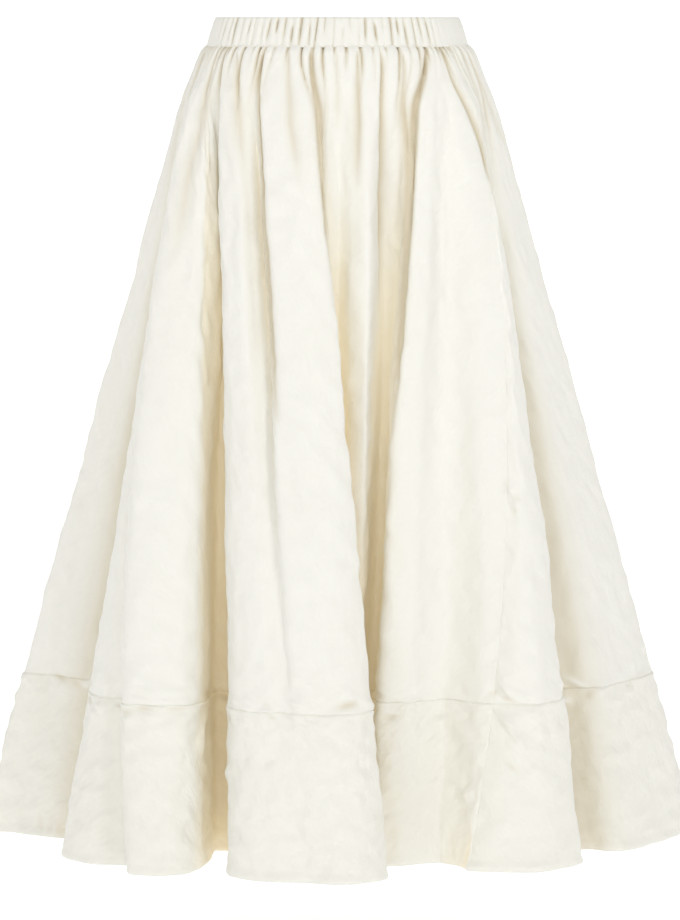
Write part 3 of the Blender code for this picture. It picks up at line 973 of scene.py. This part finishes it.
class Value:
    """A number that changes over a surface. Python's operators on it add Math nodes."""

    def __init__(self, maker: "MaterialMaker", socket: Socket) -> None:
        """Wrap an output socket of one material."""
        self.maker = maker
        self.socket = socket

    def _math(self, operation: str, first: Any, second: Any) -> "Value":
        """Add one Math node on two numbers or values."""
        node = self.maker.node("ShaderNodeMath", {"operation": operation}, {0: first, 1: second})
        return Value(self.maker, node.outputs[0])

    def __add__(self, other: "float | Value") -> "Value":
        """This value plus another."""
        return self._math("ADD", self, other)

    def __radd__(self, other: float) -> "Value":
        """A number plus this value."""
        return self._math("ADD", other, self)

    def __sub__(self, other: "float | Value") -> "Value":
        """This value less another."""
        return self._math("SUBTRACT", self, other)

    def __rsub__(self, other: float) -> "Value":
        """A number less this value."""
        return self._math("SUBTRACT", other, self)

    def __mul__(self, other: "float | Value") -> "Value":
        """This value times another."""
        return self._math("MULTIPLY", self, other)

    def __rmul__(self, other: float) -> "Value":
        """A number times this value."""
        return self._math("MULTIPLY", other, self)


class MaterialMaker:
    """Builds one procedural material around its Principled shader."""

    def __init__(self, name: str) -> None:
        """Start a material with only its shader and output.

        Args:
            name: The material's name.
        """
        self.material = bpy.data.materials.new(name)
        self.material.use_nodes = True
        self.tree = self.material.node_tree
        self.shader = self.tree.nodes["Principled BSDF"]

    def node(self, kind: str, settings: Mapping[str, Any], sockets: Mapping[Any, Any]) -> bpy.types.Node:
        """Add one node.

        Args:
            kind: Blender's name of the node's type.
            settings: The node's own settings, set first.
            sockets: Values or links for its input sockets, by name or number.

        Returns:
            The new node.
        """
        node = self.tree.nodes.new(kind)
        for key, value in settings.items():
            setattr(node, key, value)
        for key, value in sockets.items():
            self.join(node.inputs[key], value)
        return node

    def join(self, socket: Socket, value: Any) -> None:
        """Link a value or an output socket to an input, or set the input's own number."""
        if isinstance(value, Value):
            self.tree.links.new(value.socket, socket)
        elif isinstance(value, Socket):
            self.tree.links.new(value, socket)
        else:
            socket.default_value = value

    def mask(self, name: str) -> Value:
        """A number stored on the mesh's points."""
        return Value(self, self.node("ShaderNodeAttribute", {"attribute_name": name}, {}).outputs["Fac"])

    def noise(self, place: Socket, scale: Scale, detail: float, turn: float = 0.0) -> Value:
        """Smooth noise from 0 to 1 on a turned and stretched place.

        Args:
            place: The socket with the place.
            scale: Waves in each metre, in each direction.
            detail: Number of finer layers.
            turn: Angle of the turn in the plane, in radians.

        Returns:
            The noise as a value.
        """
        turned = self.node("ShaderNodeMapping", {}, {"Vector": place, "Rotation": (0.0, 0.0, turn)})
        scaled = self.node("ShaderNodeMapping", {}, {"Vector": turned.outputs[0], "Scale": scale})
        sockets = {"Vector": scaled.outputs[0], "Scale": 1.0, "Detail": detail, "Roughness": 0.5}
        return Value(self, self.node("ShaderNodeTexNoise", {}, sockets).outputs[0])

    def blend(self, share: Value, first: Colour | Socket, second: Colour) -> Socket:
        """Mix two colours by a value, held from 0 to 1."""
        settings = {"data_type": "RGBA", "clamp_factor": True}
        return self.node("ShaderNodeMix", settings, {0: share, 6: first, 7: second}).outputs[2]


@dataclass(frozen=True)
class WovenCotton:
    """Plain woven cotton, soft and matt, with uneven threads, a faint sheen and painted shade."""

    name: str
    light: Colour
    warm: Colour
    # crease and fold are painted shade colours, mixed in by the hollow and deep-fold masks.
    crease: Colour
    fold: Colour
    through: Colour = (1.0, 0.86, 0.60, 1.0)
    through_strength: float = 0.06
    painted_shade_share: float = 0.9
    thread: float = 0.9 * MM
    slub: float = 11.0 * MM
    cloud_scale: Scale = (9.0, 6.0, 1.0)
    cloud_tone: float = 1.1
    thread_tone: float = 0.7
    tone_middle: float = 0.45
    crinkle_scale: Scale = (60.0, 42.0, 1.0)
    crinkle_strength: float = 2.4
    slant_scale: Scale = (32.0, 85.0, 1.0)
    slant_turn: float = 0.6
    slant_strength: float = 0.8
    weave_strength: float = 0.10
    bump_height: float = 1.0 * MM
    roughness: float = 0.82
    cloud_roughness: float = 0.12
    thread_roughness: float = 0.2
    specular: float = 0.25
    sheen: float = 0.22
    sheen_roughness: float = 0.5

    def material(self) -> bpy.types.Material:
        """Build the cloth's material on its own map, in metres.

        Colour is the light tone mixed with the warm one by soft clouds and threads, then with a painted
        warm shade by the mask of deep folds and a painted dark shade by the mask of hollows. In the
        deep folds a faint warm glow of its own is painted light, for light that comes through the cloth.
        Height is uneven threads both ways plus small crinkles, level and slanting.

        Returns:
            The finished material.
        """
        maker = MaterialMaker(self.name)
        place = maker.node("ShaderNodeUVMap", {"uv_map": CLOTH_UV}, {}).outputs[0]
        hollow = maker.mask(CREASE_SHADE_MASK)
        deep = maker.mask(FOLD_SHADE_MASK)
        warp = maker.noise(place, (1.0 / self.thread, 1.0 / self.slub, 1.0), 2.0)
        weft = maker.noise(place, (1.0 / self.slub, 1.0 / self.thread, 1.0), 2.0)
        threads = (warp + weft) * 0.5
        clouds = maker.noise(place, self.cloud_scale, 3.0)
        crinkles = maker.noise(place, self.crinkle_scale, 3.0)
        slanting = maker.noise(place, self.slant_scale, 1.5, self.slant_turn)
        cloudy = clouds - 0.5
        thready = threads - 0.5
        tone = cloudy * self.cloud_tone + thready * self.thread_tone + self.tone_middle
        colour = maker.blend(tone, self.light, self.warm)
        # Painted shade: a warm tone in deep folds, and a dark brown in gathers, creases and seam grooves.
        colour = maker.blend(deep * self.painted_shade_share, colour, self.fold)
        colour = maker.blend(hollow * self.painted_shade_share, colour, self.crease)
        rough = cloudy * self.cloud_roughness + thready * self.thread_roughness + self.roughness
        height = crinkles * self.crinkle_strength + slanting * self.slant_strength
        height = height + threads * self.weave_strength
        bump = maker.node("ShaderNodeBump", {}, {"Height": height, "Distance": self.bump_height})
        for socket, value in (
            ("Base Color", colour),
            # Painted glow in deep folds, for light that comes through the cloth.
            ("Emission Color", maker.blend(deep, BLACK, self.through)),
            ("Emission Strength", self.through_strength),
            ("Roughness", rough),
            ("Sheen Weight", self.sheen),
            ("Sheen Roughness", self.sheen_roughness),
            ("Specular IOR Level", self.specular),
            ("Normal", bump.outputs[0]),
        ):
            maker.join(maker.shader.inputs[socket], value)
        return maker.material


BLACK = (0.0, 0.0, 0.0, 1.0)
# Painted shade colours: dark brown for gathers and creases, warm for deep folds.
PAINTED_CREASE_SHADE = (0.66, 0.58, 0.42, 1.0)
PAINTED_FOLD_SHADE = (0.92, 0.83, 0.63, 1.0)


@dataclass(frozen=True)
class Finishes:
    """The skirt's three finishes: panels, doubled hem band and waistband casing."""

    panel: WovenCotton = WovenCotton(
        "panel_cotton",
        (0.89, 0.88, 0.82, 1.0),
        (0.86, 0.845, 0.775, 1.0),
        PAINTED_CREASE_SHADE,
        PAINTED_FOLD_SHADE,
    )
    band: WovenCotton = WovenCotton(
        "hem_band_cotton",
        (0.88, 0.87, 0.80, 1.0),
        (0.85, 0.83, 0.755, 1.0),
        PAINTED_CREASE_SHADE,
        PAINTED_FOLD_SHADE,
        crinkle_strength=3.2,
        slant_strength=1.6,
    )
    waist: WovenCotton = WovenCotton(
        "waistband_cotton",
        (0.87, 0.86, 0.80, 1.0),
        (0.84, 0.825, 0.755, 1.0),
        # Painted shade colours for the ribs' valleys and for deep folds.
        (0.62, 0.55, 0.40, 1.0),
        (0.90, 0.82, 0.64, 1.0),
        crinkle_strength=1.2,
        slant_strength=0.5,
    )


class Ridge(NamedTuple):
    """A level ridge beside an edge: its rise, its place from the edge and its half width in mm."""

    rise: float
    place: float
    width: float

    def height(self, away: Array) -> Array:
        """The rise times a bell of the metres from the ridge."""
        return self.rise * MM * bell(away - self.place * MM, self.width * MM)


SWELLS = (
    Crinkle(70 * MM, 190 * MM, 0.7 * MM, 12, 5, 0.55),
    Crinkle(20 * MM, 60 * MM, 0.52 * MM, 30, 8, 0.10),
)


@dataclass
class ClothPiece:
    """One sewn piece of the skirt between two upright seams.

    Crinkles of every size cover it, the finest only low down. The hollow mask, which paints shade,
    follows gathers, creases and puckers, with a share of the seams' grooves; the deep-fold mask
    paints shade where the main folds hide the light.
    """

    form: SkirtForm
    hidden: HiddenFolds
    side: Side
    finish: bpy.types.Material
    wall: float
    steps: int = 10
    edge_shares: tuple[float, ...] = (0.012, 0.03, 0.06)
    # How deep a hollow or how hidden a fold must be for its painted shade to be full.
    crease_shade_depth: float = 4.0 * MM
    crease_shade_power: float = 1.2
    fold_shade_start: float = 0.30
    fold_shade_reach: float = 0.55
    seam_shade: float = 0.35
    groove: float = 0.5 * MM
    groove_width: float = 0.8 * MM
    groove_start: float = 240.0 * MM
    groove_whole: float = 340.0 * MM
    groove_least: float = 0.12
    gathers: Gathers = field(default_factory=Gathers)
    creases: LongCreases = field(default_factory=LongCreases)
    puckers: Puckers = field(default_factory=Puckers)
    swells: tuple[Crinkle, ...] = SWELLS
    swell_start: float = 0.10
    low_crinkle: Crinkle = Crinkle(15 * MM, 34 * MM, 0.32 * MM, 26, 23, 0.0)
    low_start: float = 0.30
    low_whole: float = 0.62

    def columns(self) -> Array:
        """Fold line numbers of the columns: even in each stretch, and closer at the seams."""
        first, last = self.side.lines
        places: list[float] = []
        for line in range(first, last):
            steps = self.steps * FOLDS[line % len(FOLDS)].gathers
            places.extend(line + np.arange(steps) / steps)
        inner = np.array(places[1:])
        edges = np.array(self.edge_shares)
        return np.concatenate(([first], first + edges, inner, last - edges[::-1], [last]))

    def rows(self) -> Array:
        """Heights of the rows, from the top down."""
        raise NotImplementedError

    def extra(self, grid: ClothGrid) -> Array:
        """Relief that only this kind of piece has."""
        return np.zeros(grid.shape)

    def edge(self, grid: ClothGrid) -> Array:
        """Groove along the upright seams: minus depth times a bell of the metres from the edge."""
        first = grid.metres_from(np.full(grid.z.shape, grid.inner[0]))
        last = grid.metres_from(np.full(grid.z.shape, grid.inner[-1]))
        below = (self.form.waist_seam - grid.z)[:, None]
        grown = smooth_step((below - self.groove_start) / (self.groove_whole - self.groove_start))
        depth = self.groove * (self.groove_least + (1.0 - self.groove_least) * grown)
        return -depth * (bell(first, self.groove_width) + bell(last, self.groove_width))

    def build(self, name: str, node: str, slot: str) -> bpy.types.Object:
        """Make the piece as a closed shell and set it in the frame.

        The outside is the middle surface moved out by half the wall and the relief. The inside
        lies one wall behind it, along the same level normal, so the two never cross.

        Args:
            name: The new piece's name.
            node: The solid that it stands for.
            slot: The record's material slot. It is not used.

        Returns:
            The piece.
        """
        grid = ClothGrid(self.form, self.rows(), self.columns())
        down = (self.form.waist_seam - grid.z)[:, None]
        free = smooth_step(down / self.swell_start)
        low = smooth_step((down - self.low_start) / (self.low_whole - self.low_start))
        relief = self.gathers.relief(grid) + self.creases.relief(grid) + self.puckers.relief(grid)
        seams = self.edge(grid) + self.extra(grid)
        folds = relief + self.seam_shade * seams
        for crinkle, share in (*((swell, free) for swell in self.swells), (self.low_crinkle, low)):
            relief = relief + crinkle.field(grid.round[None, :], down, grid.once_round) * share
        relief = relief + seams
        outer = self.raised(grid, relief + self.wall / 2)
        inner = self.raised(grid, relief - self.wall / 2)
        outer, inner = self.finish_edges(grid, outer, inner)
        keep = grid.kept
        across = grid.metres[:, keep] - grid.metres[:, keep].mean(axis=1, keepdims=True)
        # Painted shade masks: depth in gathers, creases and grooves, and how much the main folds hide.
        hollow = np.clip(-folds[:, keep] / self.crease_shade_depth, 0.0, 1.0) ** self.crease_shade_power
        hidden = self.hidden.share(grid.z, grid.inner)
        deep = smooth_step((hidden - self.fold_shade_start) / self.fold_shade_reach)
        lengths = np.broadcast_to(down, across.shape)
        shell = ShellMesh(name)
        piece = shell.build(outer[:, keep], inner[:, keep], across, lengths, hollow, deep)
        piece.data.materials.append(self.finish)
        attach(piece, "root")
        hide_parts(node)
        log.info("%s: %d faces, stands for %s", name, len(piece.data.polygons), node)
        return piece

    def raised(self, grid: ClothGrid, relief: Array) -> Array:
        """Points of the cloth moved out along the level normal by a relief."""
        place = grid.place + grid.normal * relief[..., None]
        height = self.form.height(grid.z[:, None], grid.place[..., 0])
        return np.concatenate((place, height[..., None]), axis=-1)

    def finish_edges(self, grid: ClothGrid, outer: Array, inner: Array) -> tuple[Array, Array]:
        """Round an open edge where the piece has one."""
        return outer, inner


@dataclass
class Panel(ClothPiece):
    """A gathered panel from the waistband to the band seam."""

    wall: float = 1.6 * MM
    dip: Ridge = Ridge(-0.8, 0.0, 0.7)
    top: float = -13.0 * MM
    fine_step: float = 1.6 * MM
    plain_step: float = 6.0 * MM
    fine_depth: float = 55.0 * MM
    seam_depth: float = 30.0 * MM
    seam_step: float = 2.2 * MM
    seam_rows: tuple[float, ...] = (2.4 * MM, 1.5 * MM, 0.8 * MM, 0.3 * MM, 0.0)

    def rows(self) -> Array:
        """Close rows at the gathers and at the band seam, wider between them."""
        foot = self.form.hem_seam
        fine_foot = self.top - self.fine_depth
        seam_top = foot + self.seam_depth
        fine = np.arange(self.top, fine_foot, -self.fine_step)
        plain = np.linspace(fine_foot, seam_top, int((fine_foot - seam_top) / self.plain_step))
        close_count = int(self.seam_depth / self.seam_step)
        close = np.linspace(seam_top, foot + self.seam_rows[0], close_count)
        return np.concatenate((fine, plain[:-1], close[:-1], foot + np.array(self.seam_rows)))

    def extra(self, grid: ClothGrid) -> Array:
        """The panel's foot dips into the band seam."""
        above = (grid.z - self.form.hem_seam)[:, None]
        return np.broadcast_to(self.dip.height(above), grid.shape)


@dataclass
class HemBand(ClothPiece):
    """A length of the deep hem band, doubled, with a rounded foot."""

    wall: float = 2.2 * MM
    step: float = 2.8 * MM
    roll: float = 2.4 * MM
    top_rows: tuple[float, ...] = (0.0, 0.3 * MM, 0.8 * MM, 1.5 * MM, 2.4 * MM)
    roll_rows: tuple[float, ...] = (0.9, 0.6, 0.35, 0.15, 0.0)
    foot_wall: float = 0.12
    top_ridges: tuple[Ridge, ...] = (Ridge(-0.9, 0.0, 0.6), Ridge(0.7, 2.2, 2.0))
    foot_ridges: tuple[Ridge, ...] = (Ridge(0.8, 3.6, 3.2), Ridge(-0.5, 9.0, 1.6))
    swells: tuple[Crinkle, ...] = (*SWELLS, Crinkle(16 * MM, 40 * MM, 0.48 * MM, 26, 19, 0.0))

    def rows(self) -> Array:
        """Even rows, closer at the band seam and at the rounded foot."""
        top = self.form.hem_seam
        foot = self.form.hem_foot
        upper = top - np.array(self.top_rows)
        middle = np.arange(upper[-1] - self.step, foot + self.roll, -self.step)
        turn = foot + self.roll * np.array(self.roll_rows)
        return np.concatenate((upper, middle, turn))

    def extra(self, grid: ClothGrid) -> Array:
        """The top edge rolls into the seam, and a soft roll runs above the foot."""
        below = (self.form.hem_seam - grid.z)[:, None]
        above = (grid.z - self.form.hem_foot)[:, None]
        rolled = sum(ridge.height(below) for ridge in self.top_ridges)
        foot = sum(ridge.height(above) for ridge in self.foot_ridges)
        return np.broadcast_to(rolled + foot, grid.shape)

    def finish_edges(self, grid: ClothGrid, outer: Array, inner: Array) -> tuple[Array, Array]:
        """Round the foot: near it the wall thins as a quarter circle.

        Args:
            grid: The piece's grid.
            outer: Points of the outside.
            inner: Points of the inside.

        Returns:
            Both grids, drawn together towards the foot.
        """
        above = (grid.z - self.form.hem_foot)[:, None, None] / self.roll
        left = np.clip(above, 0.0, 1.0)
        share = np.sqrt(np.maximum(0.0, 1.0 - (1.0 - left) ** 2))
        share = self.foot_wall + (1.0 - self.foot_wall) * share
        middle = (outer + inner) / 2.0
        return middle + (outer - middle) * share, middle + (inner - middle) * share


@dataclass
class Waistband:
    """The elastic casing: a closed shell in two halves, with soft upright ribs all round."""

    finish: bpy.types.Material
    top: tuple[float, float] = (127.5 * MM, 91.5 * MM)
    foot: tuple[float, float] = (137.0 * MM, 98.5 * MM)
    half_height: float = 15.5 * MM
    wall: float = 3.5 * MM
    ribs: int = 84
    steps: int = 14
    ring_samples: int = 3600
    row_count: int = 34
    puff: float = 0.8 * MM
    rib_depth: float = 2.9 * MM
    rib_round: float = 0.45 * MM
    top_round: float = 2.2 * MM
    foot_round: float = 1.0 * MM
    fading: tuple[tuple[float, float], ...] = (
        (-28.0, 1.0),
        (-16.0, 0.14),
        (36.0, 0.14),
        (44.0, 1.0),
        (152.0, 1.0),
        (162.0, 0.14),
        (196.0, 0.14),
        (208.0, 1.0),
        (332.0, 1.0),
    )
    wander: float = 0.16
    depths: Range = Range(0.30, 1.30)
    widths: Range = Range(0.06, 0.13)
    lean: float = 0.16
    middles: Range = Range(-0.15, 0.45)
    reaches: Range = Range(0.45, 1.25)
    reach_power: float = 3.0
    narrow_share: float = 0.65
    narrow_power: float = 1.5
    wide_share: float = 0.35
    wide_times: float = 2.6
    edge_wall: float = 0.15
    # Depth of a rib's valley at which its painted shade is full.
    crease_shade_depth: float = 2.4 * MM
    seed: int = 12

    def turn(self, steps: int) -> Array:
        """Degrees of columns that part the foot's ring into steps of equal length.

        The ring's length is summed over many short chords, and the degrees are read back from it.

        Args:
            steps: Number of steps once round.

        Returns:
            Degrees from the left side by the front, falling, the first one again at the end.
        """
        fine = 180.0 - np.linspace(0.0, 360.0, self.ring_samples + 1)
        ring = ellipse(self.foot[0], self.foot[1], fine)
        run = np.concatenate(([0.0], np.cumsum(np.linalg.norm(np.diff(ring, axis=0), axis=1))))
        return np.interp(np.arange(steps + 1) * run[-1] / steps, run, fine)

    def relief(self, number: Array, degrees: Array, share: Array) -> Array:
        """Height of the ribs over the plain casing.

        A rib's round top is a low cosine. Each valley between two ribs is a narrow bell and a wide
        one across it, with its own depth, width and lean, and its own part of the height. The
        ribs fade at the two sides, where the elastic lies smooth: their strength runs straight
        between the degrees and strengths of the fading table.

        Args:
            number: Rib number of the columns, with the share of the way to the next.
            degrees: Angle of the columns.
            share: Height of the rows, from 1 at the top to -1 at the foot.

        Returns:
            Heights in metres, rows by columns.
        """
        draw = np.random.default_rng(self.seed)
        places = np.arange(self.ribs) + 0.5 + draw.uniform(-self.wander, self.wander, self.ribs)
        depth = self.rib_depth * draw.uniform(*self.depths, self.ribs)
        width = draw.uniform(*self.widths, self.ribs)
        lean = draw.uniform(-self.lean, self.lean, self.ribs)
        middle = draw.uniform(*self.middles, self.ribs)
        reach = draw.uniform(*self.reaches, self.ribs)
        rows = share[:, None]
        tops = self.rib_round * np.cos(2.0 * math.pi * number)
        total = np.broadcast_to(tops, (len(share), len(number))).copy()
        half = self.ribs / 2
        for k in range(self.ribs):
            away = (number[None, :] - places[k] - lean[k] * rows + half) % self.ribs - half
            length = bell(rows - middle[k], reach[k], self.reach_power)
            valley = self.narrow_share * bell(away, width[k], self.narrow_power)
            valley = valley + self.wide_share * bell(away, width[k] * self.wide_times)
            total -= depth[k] * length * valley
        turns, strengths = np.array(self.fading).T
        strength = np.interp((degrees - turns[0]) % 360.0 + turns[0], turns, strengths)
        return total * strength[None, :] + self.puff * (1.0 - rows**2)

    def build(self, half: Half) -> bpy.types.Object:
        """Make one half of the casing and set it in the frame.

        Its ring is an ellipse between the top's and the foot's, moved out by the ribs. Near the
        top and the foot the wall thins as a quarter circle.

        Args:
            half: The half to make.

        Returns:
            The piece.
        """
        word = half.value
        count = self.ribs // 2 * self.steps
        first = 0 if half is Half.FRONT else count
        pick = np.arange(first, first + count + 1)
        degrees = self.turn(count * 2)[pick]
        share = np.cos(np.linspace(0.0, math.pi, self.row_count))
        mix = (share + 1.0)[:, None] / 2.0
        width = self.foot[0] + (self.top[0] - self.foot[0]) * mix
        depth = self.foot[1] + (self.top[1] - self.foot[1]) * mix
        ring = ellipse(width, depth, degrees[None, :])
        tangent = np.gradient(ring, axis=1)
        tangent /= np.linalg.norm(tangent, axis=-1, keepdims=True)
        normal = np.stack((tangent[..., 1], -tangent[..., 0]), axis=-1)
        relief = self.relief(pick / self.steps, degrees, share)
        height = share[:, None] * self.half_height
        rounding = np.where(height > 0.0, self.top_round, self.foot_round)
        edge = np.minimum(1.0, (self.half_height - np.abs(height)) / rounding)
        rounded = np.sqrt(1.0 - (1.0 - edge) ** 2)
        wall = self.wall * (self.edge_wall + (1.0 - self.edge_wall) * rounded)
        middle = relief - self.wall / 2.0
        outer = ring + normal * (middle + wall / 2.0)[..., None]
        inner = ring + normal * (middle - wall / 2.0)[..., None]
        level = np.broadcast_to(height, relief.shape)[..., None]
        across = np.broadcast_to(np.radians(180.0 - degrees) * self.foot[0], relief.shape)
        # Painted shade in the ribs' valleys.
        hollow = np.clip(-relief / self.crease_shade_depth, 0.0, 1.0)
        name = f"waistband_cloth_{word}"
        piece = ShellMesh(name).build(
            np.concatenate((outer, level), axis=-1),
            np.concatenate((inner, level), axis=-1),
            across,
            np.broadcast_to(-height, relief.shape),
            hollow,
            np.zeros(relief.shape),
        )
        piece.data.materials.append(self.finish)
        node = f"waistband_{word}"
        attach(piece, "root")
        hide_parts(node)
        log.info("%s: %d faces, stands for %s", name, len(piece.data.polygons), node)
        return piece


@dataclass(frozen=True)
class SheetCut:
    """The flat cut of one piece: width, length and area in metres and square metres."""

    width: float
    length: float
    area: float


class Lamp(NamedTuple):
    """A square light: its place in metres, its side in metres and its power in watts."""

    name: str
    x: float
    y: float
    z: float
    size: float
    power: float


LAMPS = (
    Lamp("left", -2.6, -3.6, 1.8, 1.3, 23.0),
    Lamp("right", 2.4, -3.8, 1.4, 1.3, 40.0),
    Lamp("top", -0.4, -2.6, 2.6, 1.3, 28.0),
)


@dataclass(frozen=True)
class Studio:
    """Camera at the photograph's angle, soft lights, and a plain pale floor and backdrop."""

    camera_place: tuple[float, float, float] = (0.00266, -4.5, 0.0155)
    pitch: float = 5.9
    lens: float = 4286.0 * 36.0 / 920.0
    floor_height: float = -1.02
    room: float = 9.0
    bend: float = 2.0
    wall_height: float = 5.0
    rings: tuple[float, ...] = (0.01, 2.0, 4.0)
    sides: int = 96
    sky: float = 0.24
    sky_tone: Colour = (1.0, 0.995, 0.985, 1.0)
    glow: float = 0.635
    glow_slope: float = 0.8
    glow_middle: float = 0.5
    dim: Colour = (0.45, 0.45, 0.45, 1.0)
    lit: Colour = (1.0, 1.0, 1.0, 1.0)
    paper: tuple[Colour, Colour] = ((0.92, 0.92, 0.92, 1.0), (0.90, 0.90, 0.90, 1.0))
    paper_scale: Scale = (1.2, 1.2, 1.2)
    paper_roughness: float = 0.95
    aim: tuple[float, float, float] = (0.0, 0.0, -0.45)

    def camera(self) -> None:
        """Place the camera."""
        data = bpy.data.cameras.new("camera")
        data.sensor_width = 36.0
        data.lens = self.lens
        data.clip_end = 100.0
        camera = bpy.data.objects.new("camera", data)
        camera.location = self.camera_place
        camera.rotation_euler = (math.radians(90.0 - self.pitch), 0.0, 0.0)
        bpy.context.scene.collection.objects.link(camera)
        bpy.context.scene.camera = camera

    def lamp(self, row: Lamp) -> None:
        """Add one large square light that points at the skirt's middle."""
        data = bpy.data.lights.new(row.name, "AREA")
        data.shape = "SQUARE"
        data.size = row.size
        data.energy = row.power
        lamp = bpy.data.objects.new(row.name, data)
        lamp.location = (row.x, row.y, row.z)
        way = np.array(self.aim) - np.array((row.x, row.y, row.z))
        flat = math.hypot(way[0], way[1])
        turn = math.atan2(way[0], -way[1]) + math.pi
        lamp.rotation_euler = (math.atan2(flat, -way[2]), 0.0, turn)
        bpy.context.scene.collection.objects.link(lamp)

    def world(self) -> None:
        """Light the room evenly in a near white."""
        world = bpy.data.worlds.new("studio")
        world.use_nodes = True
        background = world.node_tree.nodes["Background"]
        background.inputs[0].default_value = self.sky_tone
        background.inputs[1].default_value = self.sky
        bpy.context.scene.world = world

    def floor(self) -> None:
        """A round floor whose rim curves up into a wall, as one turned profile.

        The profile runs out from the middle, round a quarter circle and up. Behind the skirt it
        gives out a soft light of its own, as a lit studio wall does.
        """
        angle = np.linspace(0.0, math.pi / 2, 12)
        corner_radius = self.room - self.bend + self.bend * np.sin(angle)
        corner_height = self.bend - self.bend * np.cos(angle)
        radius = np.concatenate((self.rings, corner_radius, [self.room]))
        height = np.concatenate((np.zeros(len(self.rings)), corner_height, [self.wall_height]))
        turn = np.linspace(0.0, 2.0 * math.pi, self.sides, endpoint=False)
        points = np.stack(
            (
                radius[:, None] * np.cos(turn),
                radius[:, None] * np.sin(turn),
                np.broadcast_to((height + self.floor_height)[:, None], (len(radius), len(turn))),
            ),
            axis=-1,
        )
        number = np.arange(points.size // 3).reshape(len(radius), len(turn))
        after = np.roll(number, -1, axis=1)
        faces = np.stack((number[:-1], number[1:], after[1:], after[:-1]), axis=-1).reshape(-1, 4)
        mesh = bpy.data.meshes.new("floor")
        mesh.from_pydata(points.reshape(-1, 3).tolist(), [], faces.tolist() + [number[0].tolist()])
        mesh.polygons.foreach_set("use_smooth", np.ones(len(mesh.polygons), dtype=bool))
        maker = MaterialMaker("floor_paper")
        place = maker.node("ShaderNodeTexCoord", {}, {}).outputs["Object"]
        tone = maker.noise(place, self.paper_scale, 2.0)
        depth = Value(maker, maker.node("ShaderNodeSeparateXYZ", {}, {0: place}).outputs["Y"])
        paper = maker.blend(tone, *self.paper)
        behind = depth * self.glow_slope + self.glow_middle
        glow = maker.blend(behind, self.dim, self.lit)
        maker.join(maker.shader.inputs["Base Color"], paper)
        maker.join(maker.shader.inputs["Roughness"], self.paper_roughness)
        maker.join(maker.shader.inputs["Emission Color"], glow)
        maker.join(maker.shader.inputs["Emission Strength"], self.glow)
        mesh.materials.append(maker.material)
        floor = bpy.data.objects.new("floor", mesh)
        bpy.context.scene.collection.objects.link(floor)

    def build(self) -> None:
        """Set up the whole studio."""
        self.camera()
        self.world()
        self.floor()
        for lamp in LAMPS:
            self.lamp(lamp)
        bpy.context.scene.view_settings.view_transform = "Standard"
        log.info("studio: camera, %d lights, floor and wall", len(LAMPS))


def build_skirt() -> None:
    """Build the ten pieces."""
    form = SkirtForm()
    hidden = HiddenFolds(form)
    finishes = Finishes()
    panel_cotton = finishes.panel.material()
    band_cotton = finishes.band.material()
    waistband = Waistband(finishes.waist.material())
    for half in Half:
        casing = waistband.build(half)
    for side in Side:
        panel = Panel(form, hidden, side, panel_cotton)
        cloth = panel.build(f"panel_cloth_{side.word}", f"panel_{side.word}", "panel_cloth")
        band = HemBand(form, hidden, side, band_cotton)
        cloth = band.build(f"hem_band_cloth_{side.word}", f"hem_band_{side.word}", "hem_cloth")


def main() -> None:
    """Build the skirt and the studio."""
    logging.basicConfig(level=logging.INFO, format="%(message)s")
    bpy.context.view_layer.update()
    build_skirt()
    Studio().build()


if __name__ == "__main__":
    main()
